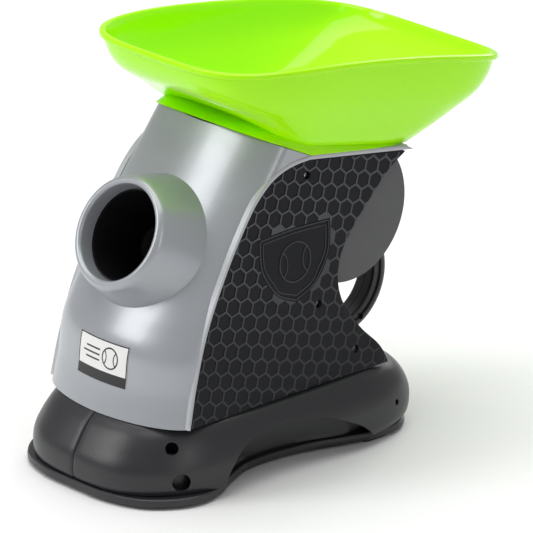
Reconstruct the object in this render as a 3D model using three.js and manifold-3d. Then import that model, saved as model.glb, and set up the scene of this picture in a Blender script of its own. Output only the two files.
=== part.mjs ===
// An automatic tennis-ball launcher, in millimetres.
// The frame: +X to the launcher's left-hand side as it faces the thrower, +Y to the rear,
// +Z up, the origin on the ground under the middle of its bounding box. The barrel points to -Y and up.
import * as THREE from "three";
import { mergeVertices } from "three/addons/utils/BufferGeometryUtils.js";
import Module from "manifold-3d";

const wasm = await Module();
wasm.setup();

// ---- driving dimensions ----
const GAP = 0.4; // air between neighbouring pieces
const WALL = 2.6; // moulded wall thickness

const BARREL = {
  pitch: THREE.MathUtils.degToRad(28.2), // muzzle above the horizontal
  mouth: [-136, 187.5], // centre of the muzzle, y and z
  bore: 35.2,
  rim: 42.2,
  lip: 3.2,
  taper: 0.3, // growth of the snout's radius per millimetre back from the muzzle
  snout: 44, // length of the snout's cone, most of it outside the shell
  setback: 13, // from the muzzle to the black tube
};
const TUBE = { inner: 34.2, outer: 36.6, rear: 14, roofFrom: 68, wallsTo: 4 };
const DRUM = { y: 34.4, z: 178.7, outer: 54.7, wall: 2.7, halfWidth: 64.2, cap: 3 };
const ROTOR = { radius: 42.4, halfWidth: 37.6, pocket: 34.8, seat: 9, stub: 5 };
const PLATE = { inner: 38.2, thick: 2.5, disc: 45, bore: 5.3 }; // the chassis side plates
const WHEEL = {
  station: 80, x: 48, radius: 17, hub: 12, halfWidth: 11, shaft: 1.6, motor: 13, motorLength: 34, room: 1.6,
};
const GEAR = { module: 2, teeth: 28, pinionTeeth: 9, x0: 43, x1: 48, backlash: 0.5 };
const PUSHER = { face: 23.5, head: 18, rod: 4, solenoid: 10, solenoidRear: -8, solenoidFront: 14 };
const CONTROL = {
  halfWidth: 30, z0: 164, z1: 204, y: 92.6, button: 6.5, buttonX: 15, buttonZ: 190, led: 2.1, ledZ: 173,
};
const LABEL = { halfWidth: 25.8, z0: 77.8, z1: 108.4, thick: 0.9 };
const INLET = { x: 34, z: 27, radius: 5.5 };
const BODY = { bottom: 52, top: 253, halfWidth: 75, lean: 0.037, rear: 96, corner: 31, round: 1.9 };
const DECK = {
  front: -48, knee: -10, rear: 90, kneeZ: 232.5, rearSlope: -0.157, frontSlope: -0.47, thick: 3.4,
};
const PANEL = { thick: 3, reveal: 0.8 };
const SKIRT = { top: 55, ledge: 3.5, frontSquare: 3, rearSquare: 4.4 };
const PAN = {
  floor: 2, lip: 8.4, wallTop: 37, wall: 2.6, floorThick: 2.4, setIn: 6.5,
  halfWidth: 84.5, front: -170, rear: 92,
};
const RIM = {
  halfWidth: 93.5, halfLength: 141.1, y: 40.2, z: 291, slope: -0.157, crown: 8.8,
  frontSquare: 4.185, rearSquare: 5.5,
};
const HANDLE = { y: 77.5, z: 99, outer: 45.5, inner: 34, halfWidth: 11 };
const CELL = { radius: 13, length: 49, pitch: 27.2, firstY: -137, rows: 3 };
const THROAT = { bore: 35.4, outer: 37.2, hole: 38.4, bottom: 222, top: 262 }; // hole: the way cut for it below
const FAR = 220; // past the outside of everything

// ---- colours ----
const LIME = [0x9bef00, 0.22, 0];
const SILVER = [0x9da0a5, 0.38, 0.25];
const TRIM = [0xb6b8bc, 0.4, 0.2];
const BLACK = [0x26272b, 0.45, 0];
const GRAPHITE = [0x515154, 0.7, 0];
const SATIN = [0x303034, 0.4, 0];
const RUBBER = [0x1b1b1c, 0.9, 0];
const STEEL = [0xb9bcc0, 0.3, 0.9];
const BRASS = [0xb79a4a, 0.35, 0.8];
const WHITE = [0xf2f2f0, 0.5, 0];
const GREEN_BOARD = [0x1d5c33, 0.6, 0];
const CELL_SKIN = [0x8a8f96, 0.35, 0.4];
const LED_GREEN = [0x6fe06f, 0.2, 0];

// ---- geometry helpers ----
function solid(geometry, matrix = new THREE.Matrix4()) {
  const bare = geometry.index ? geometry.toNonIndexed() : geometry.clone();
  bare.deleteAttribute("normal");
  bare.deleteAttribute("uv");
  bare.applyMatrix4(matrix);
  const merged = mergeVertices(bare, 1e-4);
  const vertProperties = new Float32Array(merged.attributes.position.array);
  const triVerts = new Uint32Array(merged.index.array);
  if (matrix.determinant() < 0) {
    for (let i = 0; i < triVerts.length; i += 3) {
      [triVerts[i + 1], triVerts[i + 2]] = [triVerts[i + 2], triVerts[i + 1]];
    }
  }
  return new wasm.Manifold(new wasm.Mesh({ numProp: 3, vertProperties, triVerts }));
}

function geometryOf(made) {
  const mesh = made.getMesh();
  const geometry = new THREE.BufferGeometry();
  geometry.setAttribute("position", new THREE.BufferAttribute(new Float32Array(mesh.vertProperties), 3));
  geometry.setIndex(new THREE.BufferAttribute(new Uint32Array(mesh.triVerts), 1));
  const flat = geometry.toNonIndexed();
  flat.computeVertexNormals();
  return flat;
}

// The same solid through a matrix, a mirroring one included.
const moved = (made, matrix) => solid(geometryOf(made), matrix);
const mirrored = (made) => moved(made, new THREE.Matrix4().makeScale(-1, 1, 1));

const model = new THREE.Group();
function add(name, made, [color, roughness, metalness]) {
  const material = new THREE.MeshStandardMaterial({ color, roughness, metalness });
  const mesh = new THREE.Mesh(geometryOf(made), material);
  mesh.name = name;
  model.add(mesh);
}

const place = (x, y, z) => new THREE.Matrix4().makeTranslation(x, y, z);
const box = (x0, x1, y0, y1, z0, z1) =>
  solid(new THREE.BoxGeometry(x1 - x0, y1 - y0, z1 - z0), place((x0 + x1) / 2, (y0 + y1) / 2, (z0 + z1) / 2));

// A cylinder along X between x0 and x1.
function rodX(radius, x0, x1, y, z, sides = 32) {
  const turn = new THREE.Matrix4().makeRotationZ(-Math.PI / 2);
  const geometry = new THREE.CylinderGeometry(radius, radius, x1 - x0, sides);
  return solid(geometry, place((x0 + x1) / 2, y, z).multiply(turn));
}

// A cylinder along Z between z0 and z1.
function rodZ(radius, z0, z1, x, y, sides = 32, topRadius = radius) {
  const turn = new THREE.Matrix4().makeRotationX(Math.PI / 2);
  const geometry = new THREE.CylinderGeometry(topRadius, radius, z1 - z0, sides);
  return solid(geometry, place(x, y, (z0 + z1) / 2).multiply(turn));
}

// An outline in Y and Z, extruded along X from x0 to x1.
function sideExtrusion(shape, x0, x1, curveSegments = 8) {
  const geometry = new THREE.ExtrudeGeometry(shape, { depth: x1 - x0, bevelEnabled: false, curveSegments });
  const matrix = new THREE.Matrix4().set(0, 0, 1, x0, 1, 0, 0, 0, 0, 1, 0, 0, 0, 0, 0, 1);
  return solid(geometry, matrix);
}

// An outline in X and Y, extruded up from z0 to z1.
function planExtrusion(shape, z0, z1, curveSegments = 8) {
  const geometry = new THREE.ExtrudeGeometry(shape, { depth: z1 - z0, bevelEnabled: false, curveSegments });
  return solid(geometry, place(0, 0, z0));
}

function polygon(points) {
  return new THREE.Shape(points.map(([a, b]) => new THREE.Vector2(a, b)));
}

function smooth(points, count) {
  const through = points.map(([a, b]) => new THREE.Vector3(a, b, 0));
  return new THREE.CatmullRomCurve3(through, false, "centripetal").getPoints(count).map((p) => [p.x, p.y]);
}

// The other coordinate of a curve at a height, by walking its sampled points.
function alongHeight(points, z) {
  for (let i = 1; i < points.length; i += 1) {
    const [z0, y0] = points[i - 1];
    const [z1, y1] = points[i];
    if (z <= z1) return y0 + ((y1 - y0) * (z - z0)) / (z1 - z0);
  }
  return points[points.length - 1][1];
}

// A closed solid through stacked rings: ringAt(level, angle) gives a point, level 0 to 1 from the bottom up.
function stack(ringAt, levels, sides) {
  const geometry = new THREE.CylinderGeometry(1, 1, 1, sides, levels);
  const position = geometry.attributes.position;
  for (let i = 0; i < position.count; i += 1) {
    const level = position.getY(i) + 0.5;
    const radius = Math.hypot(position.getX(i), position.getZ(i));
    const angle = Math.atan2(-position.getZ(i), position.getX(i));
    const [x, y, z] = ringAt(level, angle, radius < 0.5);
    position.setXYZ(i, x, y, z);
  }
  return solid(geometry);
}

const power = (value, exponent) => Math.sign(value) * Math.abs(value) ** exponent;

// A rounded rectangle as a superellipse, with its own front and rear reach and squareness.
function superellipse(angle, halfWidth, front, rear, frontSquare, rearSquare = frontSquare) {
  const middle = (front + rear) / 2;
  const half = (rear - front) / 2;
  const square = Math.sin(angle) < 0 ? frontSquare : rearSquare;
  return [halfWidth * power(Math.cos(angle), 2 / square), middle + half * power(Math.sin(angle), 2 / square)];
}

// ---- the barrel's own frame: station forward along the axis, rise square to it ----
const along = new THREE.Vector3(0, -Math.cos(BARREL.pitch), Math.sin(BARREL.pitch));
const rise = new THREE.Vector3(0, Math.sin(BARREL.pitch), Math.cos(BARREL.pitch));
const mouth = new THREE.Vector3(0, ...BARREL.mouth);
const drumAxis = new THREE.Vector3(0, DRUM.y, DRUM.z);
// Station 0 is the foot of the perpendicular from the drum's axis.
const muzzle = mouth.clone().sub(drumAxis).dot(along);
const zero = mouth.clone().addScaledVector(along, -muzzle);
const barrelPoint = (station, height = 0, x = 0) =>
  zero.clone().addScaledVector(along, station).addScaledVector(rise, height).setX(x);
const drumHeight = drumAxis.clone().sub(zero).dot(rise);

// A solid of revolution about the barrel axis from [radius, station] points that start and end on the axis.
function barrelLathe(profile, sides = 48) {
  const geometry = new THREE.LatheGeometry(profile.map(([r, s]) => new THREE.Vector2(r, s)), sides);
  const across = new THREE.Vector3(1, 0, 0);
  const third = new THREE.Vector3().crossVectors(across, along);
  const matrix = new THREE.Matrix4().makeBasis(across, along, third);
  matrix.setPosition(zero);
  return solid(geometry, matrix);
}
const barrelRod = (radius, s0, s1, sides = 48) =>
  barrelLathe([[0, s0], [radius, s0], [radius, s1], [0, s1]], sides);

// A cylinder square to the barrel, along its rise, at a station and an x.
function riseRod(radius, station, x, h0, h1, sides = 24) {
  const geometry = new THREE.CylinderGeometry(radius, radius, h1 - h0, sides);
  const matrix = new THREE.Matrix4().makeBasis(new THREE.Vector3(-1, 0, 0), rise, along);
  matrix.setPosition(barrelPoint(station, (h0 + h1) / 2, x));
  return solid(geometry, matrix);
}

// A box in the barrel's frame.
function barrelBox(x0, x1, s0, s1, h0, h1) {
  const geometry = new THREE.BoxGeometry(x1 - x0, h1 - h0, s1 - s0);
  const matrix = new THREE.Matrix4().makeBasis(new THREE.Vector3(-1, 0, 0), rise, along);
  matrix.setPosition(barrelPoint((s0 + s1) / 2, (h0 + h1) / 2, (x0 + x1) / 2));
  return solid(geometry, matrix);
}

// ---- the body's outer surface ----
const bodyFront = smooth(
  [[52, -160], [78, -153.5], [106, -149.5], [124, -141], [150, -125], [190, -101], [225, -75], [253, -54]],
  40,
);
const bodyWidth = (z) => BODY.halfWidth - BODY.lean * (z - BODY.bottom);

// A D-shaped section at each height: a rounded front, flat sides behind its corner, and a square rear.
function bodyStack(inset, levels, sides) {
  return stack((level, angle, centre) => {
    const z = BODY.bottom - inset + level * (BODY.top - BODY.bottom + 2 * inset);
    if (centre) return [0, -20, z];
    const front = alongHeight(bodyFront, Math.min(Math.max(z, BODY.bottom), BODY.top)) + inset;
    const corner = front + BODY.corner - inset;
    const reach = Math.sin(angle) < 0 ? corner - front : BODY.rear + 30 - corner;
    const square = Math.sin(angle) < 0 ? BODY.round : 14;
    const x = (bodyWidth(z) - inset) * power(Math.cos(angle), 2 / square);
    return [x, corner + reach * power(Math.sin(angle), 2 / square), z];
  }, levels, sides);
}

const deckLine = (y) =>
  DECK.kneeZ + (y < DECK.knee ? DECK.frontSlope : DECK.rearSlope) * (y - DECK.knee);

// Everything above the deck's top face, lifted by a distance.
function aboveDeck(lift, halfWidth = FAR) {
  const shape = polygon([
    [-FAR, deckLine(-FAR) + lift], [DECK.knee, DECK.kneeZ + lift], [FAR, deckLine(FAR) + lift],
    [FAR, 2 * FAR], [-FAR, 2 * FAR],
  ]);
  return sideExtrusion(shape, -halfWidth, halfWidth);
}

// ---- the side panel's outline ----
const PANEL_TOP = 229.5;
const panelFrontEdge = smooth([
  [-133, 55.5], [-126, 86], [-113, 126], [-92, 167], [-76, 192],
  [-63, 209], [-47, 222], [-30, 228], [-11, PANEL_TOP],
], 20);
const panelRearEdge = smooth([
  [86, 213.5], [69, 204], [49, 186], [31, 168], [18.5, 150], [15, 134],
  [18, 117], [26, 103], [38, 88], [56, 70], [64, 55.5],
], 20);

function panelOutline(inset) {
  const front = panelFrontEdge.map(([y, z]) => [y + inset, Math.min(z, PANEL_TOP - inset)]);
  return polygon([...front, ...panelRearEdge]);
}

// A side plate that leans with the body's side, between two distances from the middle plane at the base.
function leaningPlate(shape, inner, outer) {
  const lean = new THREE.Matrix4();
  lean.set(1, 0, -BODY.lean, BODY.lean * BODY.bottom, 0, 1, 0, 0, 0, 0, 1, 0, 0, 0, 0, 1);
  return moved(sideExtrusion(shape, inner, outer), lean);
}

// ---- the silver front shell, with the snout ----
function frontShell() {
  const snoutRoot = muzzle - BARREL.snout;
  const snout = barrelLathe([
    [0, snoutRoot],
    [BARREL.rim + BARREL.taper * BARREL.snout, snoutRoot],
    [BARREL.rim, muzzle - BARREL.lip],
    [BARREL.rim - 0.8, muzzle - 0.8],
    [BARREL.rim - BARREL.lip, muzzle],
    [0, muzzle],
  ], 40);
  const rearOfShell = polygon([
    ...panelFrontEdge, [FAR, PANEL_TOP], [FAR, 0], [panelFrontEdge[0][0], 0],
  ]);
  const behindDeck = box(-FAR, FAR, DECK.knee, FAR, 100, 300);
  const below = box(-FAR, FAR, -FAR, FAR, 0, SKIRT.top + GAP);
  const hollow = bodyStack(WALL, 9, 32);
  const bore = barrelRod(BARREL.bore, muzzle - BARREL.setback, muzzle + 5, 40);
  const socket = barrelRod(TUBE.outer + GAP, snoutRoot - 30, muzzle - BARREL.setback + 0.01, 40);
  return bodyStack(0, 9, 32)
    .subtract(hollow)
    .add(snout.subtract(hollow.subtract(barrelRod(BARREL.rim + 6, snoutRoot, muzzle))))
    .subtract(sideExtrusion(rearOfShell, -FAR, FAR))
    .subtract(aboveDeck(0))
    .subtract(behindDeck)
    .subtract(below)
    .subtract(bore)
    .subtract(socket);
}

// ---- the deck under the hopper, whose edge shows as a light trim line ----
function topDeck() {
  const band = aboveDeck(-DECK.thick).subtract(aboveDeck(0, FAR + 1));
  const inFront = box(-FAR, FAR, -FAR, DECK.knee, 0, 2 * FAR).subtract(bodyStack(WALL + GAP, 9, 32));
  return bodyStack(0, 9, 32)
    .intersect(band)
    .intersect(box(-FAR, FAR, DECK.front, DECK.rear, 150, 300))
    .subtract(inFront)
    .subtract(rodZ(THROAT.hole, 150, 300, 0, DRUM.y, 32));
}

// ---- the drum: a shell open at the top and toward the barrel, and its two caps ----
function drumShell() {
  const inside = DRUM.outer - DRUM.wall;
  const shellHalf = DRUM.halfWidth - DRUM.cap - GAP;
  const ring = rodX(DRUM.outer, -shellHalf, shellHalf, DRUM.y, DRUM.z, 44)
    .subtract(rodX(inside, -shellHalf - 1, shellHalf + 1, DRUM.y, DRUM.z, 44));
  const deckCut = aboveDeck(-DECK.thick - GAP);
  const exit = barrelBox(-PLATE.inner - 4, PLATE.inner + 4, -14, 90, drumHeight - FAR, drumHeight - 8);
  const entry = rodZ(THROAT.hole, DRUM.z, 260, 0, DRUM.y, 32);
  return ring.subtract(deckCut).subtract(exit).subtract(entry);
}

function drumCap(side) {
  const x0 = DRUM.halfWidth - DRUM.cap;
  const boss = rodX(12, x0 - 4, x0 + 0.5, DRUM.y, DRUM.z, 24);
  const cap = rodX(DRUM.outer, x0, DRUM.halfWidth, DRUM.y, DRUM.z, 44)
    .subtract(aboveDeck(-DECK.thick - GAP))
    .add(boss);
  return side > 0 ? cap : mirrored(cap);
}

// ---- the rear cover under the drum, following the waist ----
function rearCover() {
  const outer = smooth([[16.5, 127], [17, 117], [25, 103], [37, 88], [55, 70], [62, 59]], 14);
  const inner = outer.map(([y, z]) => [y - 2.2, z - 2]).reverse();
  return sideExtrusion(polygon([...outer, ...inner]), -66, 66);
}

// ---- the carry handle, two halves that meet on the middle plane ----
function handleHalf(side) {
  const shape = new THREE.Shape();
  shape.absarc(HANDLE.y, HANDLE.z, HANDLE.outer, -1.62, 1.75, false);
  shape.absarc(HANDLE.y, HANDLE.z, HANDLE.inner, 1.75, -1.62, true);
  const half = sideExtrusion(shape, GAP / 2, HANDLE.halfWidth, 22)
    .subtract(rodX(DRUM.outer + GAP, -20, 20, DRUM.y, DRUM.z, 44))
    .subtract(box(-20, 20, 0, 140, 0, SKIRT.top + GAP));
  return side > 0 ? half : mirrored(half);
}

// ---- the skirt: the black base, in two halves ----
// Height, half width, front and rear of each ring.
const SKIRT_RINGS = [
  [9, 89.5, -179, 95], [13, 91, -180.7, 99], [26, 91, -180, 101], [38, 88, -173.5, 98],
  [48, 83, -166.5, 91], [53, 79, -161.5, 84], [55, 76, -159, 80],
];

function ringStack(rings, sides, inset = 0) {
  const count = rings.length - 1;
  return stack((level, angle, centre) => {
    const [z, halfWidth, front, rear] = rings[Math.round(level * count)];
    if (centre) return [0, -40, z];
    const [x, y] = superellipse(angle, halfWidth - inset, front + inset, rear - inset, SKIRT.frontSquare,
      SKIRT.rearSquare);
    return [x, y, z];
  }, count, sides);
}

// The arch cut in each side of the skirt, from the side.
const skirtArch = smooth([
  [-110, 5], [-107, 18], [-98, 30], [-86, 38], [-70, 42.5], [-50, 43.5],
  [-28, 41], [-8, 35], [10, 27], [26, 18], [40, 5],
], 22);

function skirtHalf(side) {
  const outer = ringStack(SKIRT_RINGS, 56);
  const below = SKIRT_RINGS[0].map((value, i) => (i === 0 ? value - 5 : value));
  const above = SKIRT_RINGS[SKIRT_RINGS.length - 1].map((value, i) => (i === 0 ? value - 3 : value));
  const inner = ringStack([below, ...SKIRT_RINGS.slice(1, -2), above], 56, WALL + 0.4);
  const shell = outer.subtract(inner)
    .subtract(sideExtrusion(polygon(skirtArch), -FAR, FAR))
    .intersect(box(GAP / 2, FAR, -FAR, FAR, 0, 80));
  const ledge = box(-FAR, FAR, -FAR, FAR, SKIRT.top - SKIRT.ledge, 60);
  const half = shell.subtract(bodyInsideLedge().intersect(ledge));
  return side > 0 ? half : mirrored(half);
}

// The hole in the skirt's top that the body stands over.
function bodyInsideLedge() {
  return stack((level, angle, centre) => {
    const z = 40 + level * 30;
    if (centre) return [0, -40, z];
    const [x, y] = superellipse(angle, 66, -148, 58, 3, 4.4);
    return [x, y, z];
  }, 1, 48);
}

// ---- the pan under the skirt: an hourglass tray ----
const panEdge = smooth([
  [0, -181.3], [32, -180.1], [60, -171], [75, -157], [84, -140], [86, -125], [82, -109], [72, -90],
  [63, -66], [62, -40], [67, -8], [76, 20], [82, 45], [80, 72], [62, 90], [30, 96], [0, 97],
], 40);
const PAN_MIDDLE = { y: -45, reach: 130 };

// The pan's outline drawn in by an inset, and cut off where asked.
function panOutline(inset, widest = FAR, front = -FAR, rear = FAR) {
  const right = panEdge.map(([x, y]) => {
    const shrink = (y - PAN_MIDDLE.y) / PAN_MIDDLE.reach;
    return [Math.max(Math.min(x - inset, widest), 0), Math.min(Math.max(y - shrink * inset, front), rear)];
  });
  const left = right.slice(1, -1).map(([x, y]) => [-x, y]).reverse();
  return polygon([...right, ...left]);
}

// The skirt's own rounding, which the pan's wall stays inside.
function panRound(inset, z0, z1) {
  const points = [];
  for (let i = 0; i < 56; i += 1) {
    points.push(superellipse((i / 28) * Math.PI, PAN.halfWidth - inset, PAN.front + inset, PAN.rear - inset,
      SKIRT.frontSquare, SKIRT.rearSquare));
  }
  return planExtrusion(polygon(points), z0, z1);
}

const DOOR = { x: 55, y0: -152, y1: -68 };
const FEET = [["front", 66, -136], ["rear", 70, 48]];
const FOOT = { halfX: 9, halfY: 13, peg: 3 };
function bottomPan() {
  const wall = { widest: 72, front: -156, rear: 72 };
  const outline = panOutline(PAN.setIn, wall.widest, wall.front, wall.rear);
  const upright = planExtrusion(outline, PAN.lip - 1, PAN.wallTop)
    .intersect(panRound(0, PAN.floor, PAN.wallTop));
  const tray = planExtrusion(panOutline(0), PAN.floor, PAN.lip).add(upright);
  const floorTop = PAN.floor + PAN.floorThick;
  const hollow = planExtrusion(
    panOutline(PAN.setIn + PAN.wall, wall.widest - PAN.wall, wall.front + PAN.wall, wall.rear - PAN.wall),
    floorTop, 80,
  ).intersect(panRound(PAN.wall, PAN.floor, 80));
  let pan = tray.subtract(hollow).subtract(box(-DOOR.x, DOOR.x, DOOR.y0, DOOR.y1, 0, 10));
  for (const [, x, y] of FEET) {
    for (const side of [-1, 1]) pan = pan.subtract(rodZ(FOOT.peg + GAP, 0, 9, side * x, y, 12));
  }
  return pan;
}

// The battery door slips up into the doorway from below, on a finger tab.
function batteryDoor() {
  const top = PAN.floor + PAN.floorThick;
  return box(-DOOR.x + GAP, DOOR.x - GAP, DOOR.y0 + GAP, DOOR.y1 - GAP, PAN.floor, top)
    .subtract(box(-9, 9, DOOR.y1 - 10, DOOR.y1 - 6, 0, PAN.floor + 1));
}

function batteryHolder() {
  const z0 = PAN.floor + PAN.floorThick + 1;
  const rows = CELL.rows * CELL.pitch;
  const y0 = CELL.firstY - CELL.pitch / 2;
  const [end, reach, axis] = [CELL.length + 2, CELL.radius + GAP, z0 + 2 + CELL.radius];
  let tray = box(-DOOR.x + 1.5, DOOR.x - 1.5, y0 - 1, y0 + rows + 1, z0, z0 + 17);
  for (let row = 0; row < CELL.rows; row += 1) {
    const y = CELL.firstY + row * CELL.pitch;
    tray = tray.subtract(rodX(reach, -end, end, y, axis, 20));
    tray = tray.subtract(box(-end, end, y - reach, y + reach, axis, z0 + 30));
  }
  return tray;
}

function cell(x0, row) {
  const z = PAN.floor + PAN.floorThick + 3 + CELL.radius;
  const y = CELL.firstY + row * CELL.pitch;
  const body = rodX(CELL.radius, x0, x0 + CELL.length - 2, y, z, 20);
  return body.add(rodX(3.5, x0 + CELL.length - 2.5, x0 + CELL.length - 0.6, y, z, 12));
}

function foot(x, y) {
  return box(x - FOOT.halfX, x + FOOT.halfX, y - FOOT.halfY, y + FOOT.halfY, 0, PAN.floor - GAP / 2)
    .add(rodZ(FOOT.peg, 0.5, PAN.floor + 4.4, x, y, 12));
}

// ---- the hopper: a collar over the deck, a lofted bowl with a beaded rim, and a throat ----
const COLLAR = { halfWidth: 69.6, front: -56.5, rear: 96, frontSquare: 4.2, rearSquare: 5 };
const BOWL_FOOT = {
  halfWidth: 68, front: -54, rear: 112, square: 5, recess: 17, lift: 7, fade: 0.066, least: 1,
};
const FOOT_FRONT = { lift: 4, halfWidth: 60 }; // the foot climbs towards the middle of the front
const BOWL_FLOOR = 9.5; // the floor's middle above the deck
const FUNNEL = 6; // the floor's least rise from its middle to the wall, so the balls roll to the throat
const BEAD = 1.6; // how far the rim's bead stands out from the wall
// Each ring of the wall: its share of the way out to the rim, and of the way up to it.
const BOWL_WALL = [
  [0, 0], [0.2, 0.12], [0.38, 0.235], [0.54, 0.345], [0.7, 0.455], [0.83, 0.58], [0.93, 0.76],
];
// Each ring of the bead: how far in from the rim, and how far below it.
const BEAD_RINGS = [[BEAD, 4.6], [0.3, 3.9], [0, 2.2], [0.9, 0]];

function rimHeight(y) {
  const far = (y - RIM.y) / RIM.halfLength;
  return RIM.z + RIM.slope * (y - RIM.y) + RIM.crown * (1 - far * far);
}

function footLift(x, y, inFront) {
  const climb = inFront ? FOOT_FRONT.lift * (1 - Math.min(Math.abs(x) / FOOT_FRONT.halfWidth, 1) ** 3) : 0;
  const side = Math.max(BOWL_FOOT.lift - BOWL_FOOT.fade * Math.max(y - DECK.knee, 0), BOWL_FOOT.least);
  return side + climb;
}

// The line where the bowl's wall springs from the collar. Its front is set back in the middle.
function footPoint(angle, inset) {
  const { halfWidth, front, rear, square, recess } = BOWL_FOOT;
  const [x, plainY] = superellipse(angle, halfWidth - inset, front + inset, rear - inset, square);
  const inFront = Math.sin(angle) < 0;
  const y = inFront ? plainY + recess * (1 - (x / (halfWidth - inset)) ** 2) : plainY;
  return [x, y, deckLine(y) + footLift(x, y, inFront)];
}

const bowlRing = (out, up, inset, drop, least = 0) => (angle) => {
  const [x0, y0, foot] = footPoint(angle, inset);
  const low = Math.max(foot, least);
  const [x1, y1] = superellipse(angle, RIM.halfWidth - inset, RIM.y - RIM.halfLength + inset,
    RIM.y + RIM.halfLength - inset, RIM.frontSquare, RIM.rearSquare);
  return [x0 + (x1 - x0) * out, y0 + (y1 - y0) * out, low + (rimHeight(y1) - low) * up - drop];
};

const collarRing = (inset, lift) => (angle) => {
  const [x, y] = superellipse(angle, COLLAR.halfWidth - inset, COLLAR.front + inset, COLLAR.rear - inset,
    COLLAR.frontSquare, COLLAR.rearSquare);
  return [x, y, deckLine(y) + lift];
};

// A closed solid through rings, with its ends drawn to a point over the bowl's middle.
function ringSolid(rings, bottom, top) {
  const count = rings.length - 1;
  return stack((level, angle, centre) => {
    if (centre) return [0, RIM.y, level < 0.5 ? bottom : top];
    return rings[Math.round(level * count)](angle);
  }, count, 40);
}

function hopper() {
  const floor = deckLine(RIM.y) + BOWL_FLOOR;
  const rimTop = rimHeight(RIM.y);
  const thick = BEAD + WALL;
  const bead = BEAD_RINGS.map(([inset, drop]) => bowlRing(1, 1, inset, drop));
  const wall = BOWL_WALL.map(([out, up]) => bowlRing(out, up, BEAD, 0));
  const outside = ringSolid([collarRing(0, GAP), ...wall, ...bead], deckLine(RIM.y) + GAP, rimTop);
  const lowest = floor + FUNNEL;
  const insideRings = [...BOWL_WALL, [1, 1]].map(([out, up]) => bowlRing(out, up, thick, -WALL, lowest));
  const inside = ringSolid(insideRings, floor + WALL, rimTop + WALL);
  const underRings = [collarRing(WALL, -8), bowlRing(0, 0, thick, WALL, floor)];
  const under = ringSolid(underRings, deckLine(RIM.y) - 8, floor - WALL / 2);
  return outside.subtract(under)
    .add(rodZ(THROAT.outer, THROAT.bottom, THROAT.top, 0, DRUM.y, 32))
    .subtract(inside)
    .subtract(rodZ(THROAT.bore, 150, 300, 0, DRUM.y, 32));
}

// ---- the launch tube: a half pipe under the rotor, a full pipe forward of it, slotted for the wheels ----
function launchTube() {
  const front = muzzle - BARREL.setback - GAP;
  const pipe = barrelLathe([
    [TUBE.inner, TUBE.rear], [TUBE.outer, TUBE.rear], [TUBE.outer, front], [TUBE.inner, front],
    [TUBE.inner, TUBE.rear],
  ], 40);
  const roof = barrelBox(-60, 60, TUBE.rear - 1, TUBE.roofFrom, TUBE.wallsTo, 60);
  const reach = WHEEL.halfWidth + 1.5;
  const slot = (x) => riseRod(WHEEL.radius + WHEEL.room, WHEEL.station, x, -reach, reach, 24);
  return pipe.subtract(roof).subtract(slot(WHEEL.x)).subtract(slot(-WHEEL.x));
}

// ---- the ball rotor in the drum: it takes one ball from the hopper and tips it onto the tube ----
function ballRotor() {
  const body = rodX(ROTOR.radius, -ROTOR.halfWidth, ROTOR.halfWidth, DRUM.y, DRUM.z, 40);
  const seat = solid(new THREE.SphereGeometry(ROTOR.pocket, 28, 14), place(0, DRUM.y, DRUM.z + ROTOR.seat));
  const pocket = rodZ(ROTOR.pocket, DRUM.z + ROTOR.seat, DRUM.z + 80, 0, DRUM.y, 28).add(seat);
  const stubs = rodX(ROTOR.stub, ROTOR.halfWidth - 1, GEAR.x1 + 3, DRUM.y, DRUM.z, 16)
    .add(rodX(ROTOR.stub, -GEAR.x0, -ROTOR.halfWidth + 1, DRUM.y, DRUM.z, 16));
  return body.subtract(pocket).add(stubs);
}

// A spur gear about X with straight-flanked teeth; turn shifts its teeth by a share of a pitch.
function gearAboutX(teeth, x0, x1, y, z, boreRadius, turn) {
  const pitchRadius = (GEAR.module * teeth) / 2;
  const points = [];
  for (let tooth = 0; tooth < teeth; tooth += 1) {
    for (const [share, height] of [[-0.3, -1.25], [-0.1, 0.9], [0.1, 0.9], [0.3, -1.25]]) {
      const angle = ((tooth + share + turn) / teeth) * Math.PI * 2;
      const radius = pitchRadius + height * GEAR.module;
      points.push([y + radius * Math.cos(angle), z + radius * Math.sin(angle)]);
    }
  }
  const wheel = sideExtrusion(polygon(points), x0, x1);
  return boreRadius > 0 ? wheel.subtract(rodX(boreRadius, x0 - 1, x1 + 1, y, z, 16)) : wheel;
}

const gearCentres = (GEAR.module * (GEAR.teeth + GEAR.pinionTeeth)) / 2 + GEAR.backlash;
// The pinion lies behind the drum's axis and a little below it.
const pinionAt = [DRUM.y + gearCentres, DRUM.z];

function feedMotor() {
  return rodX(11.5, GEAR.x1 + 2.2, DRUM.halfWidth - DRUM.cap - GAP, ...pinionAt, 24);
}

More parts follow.
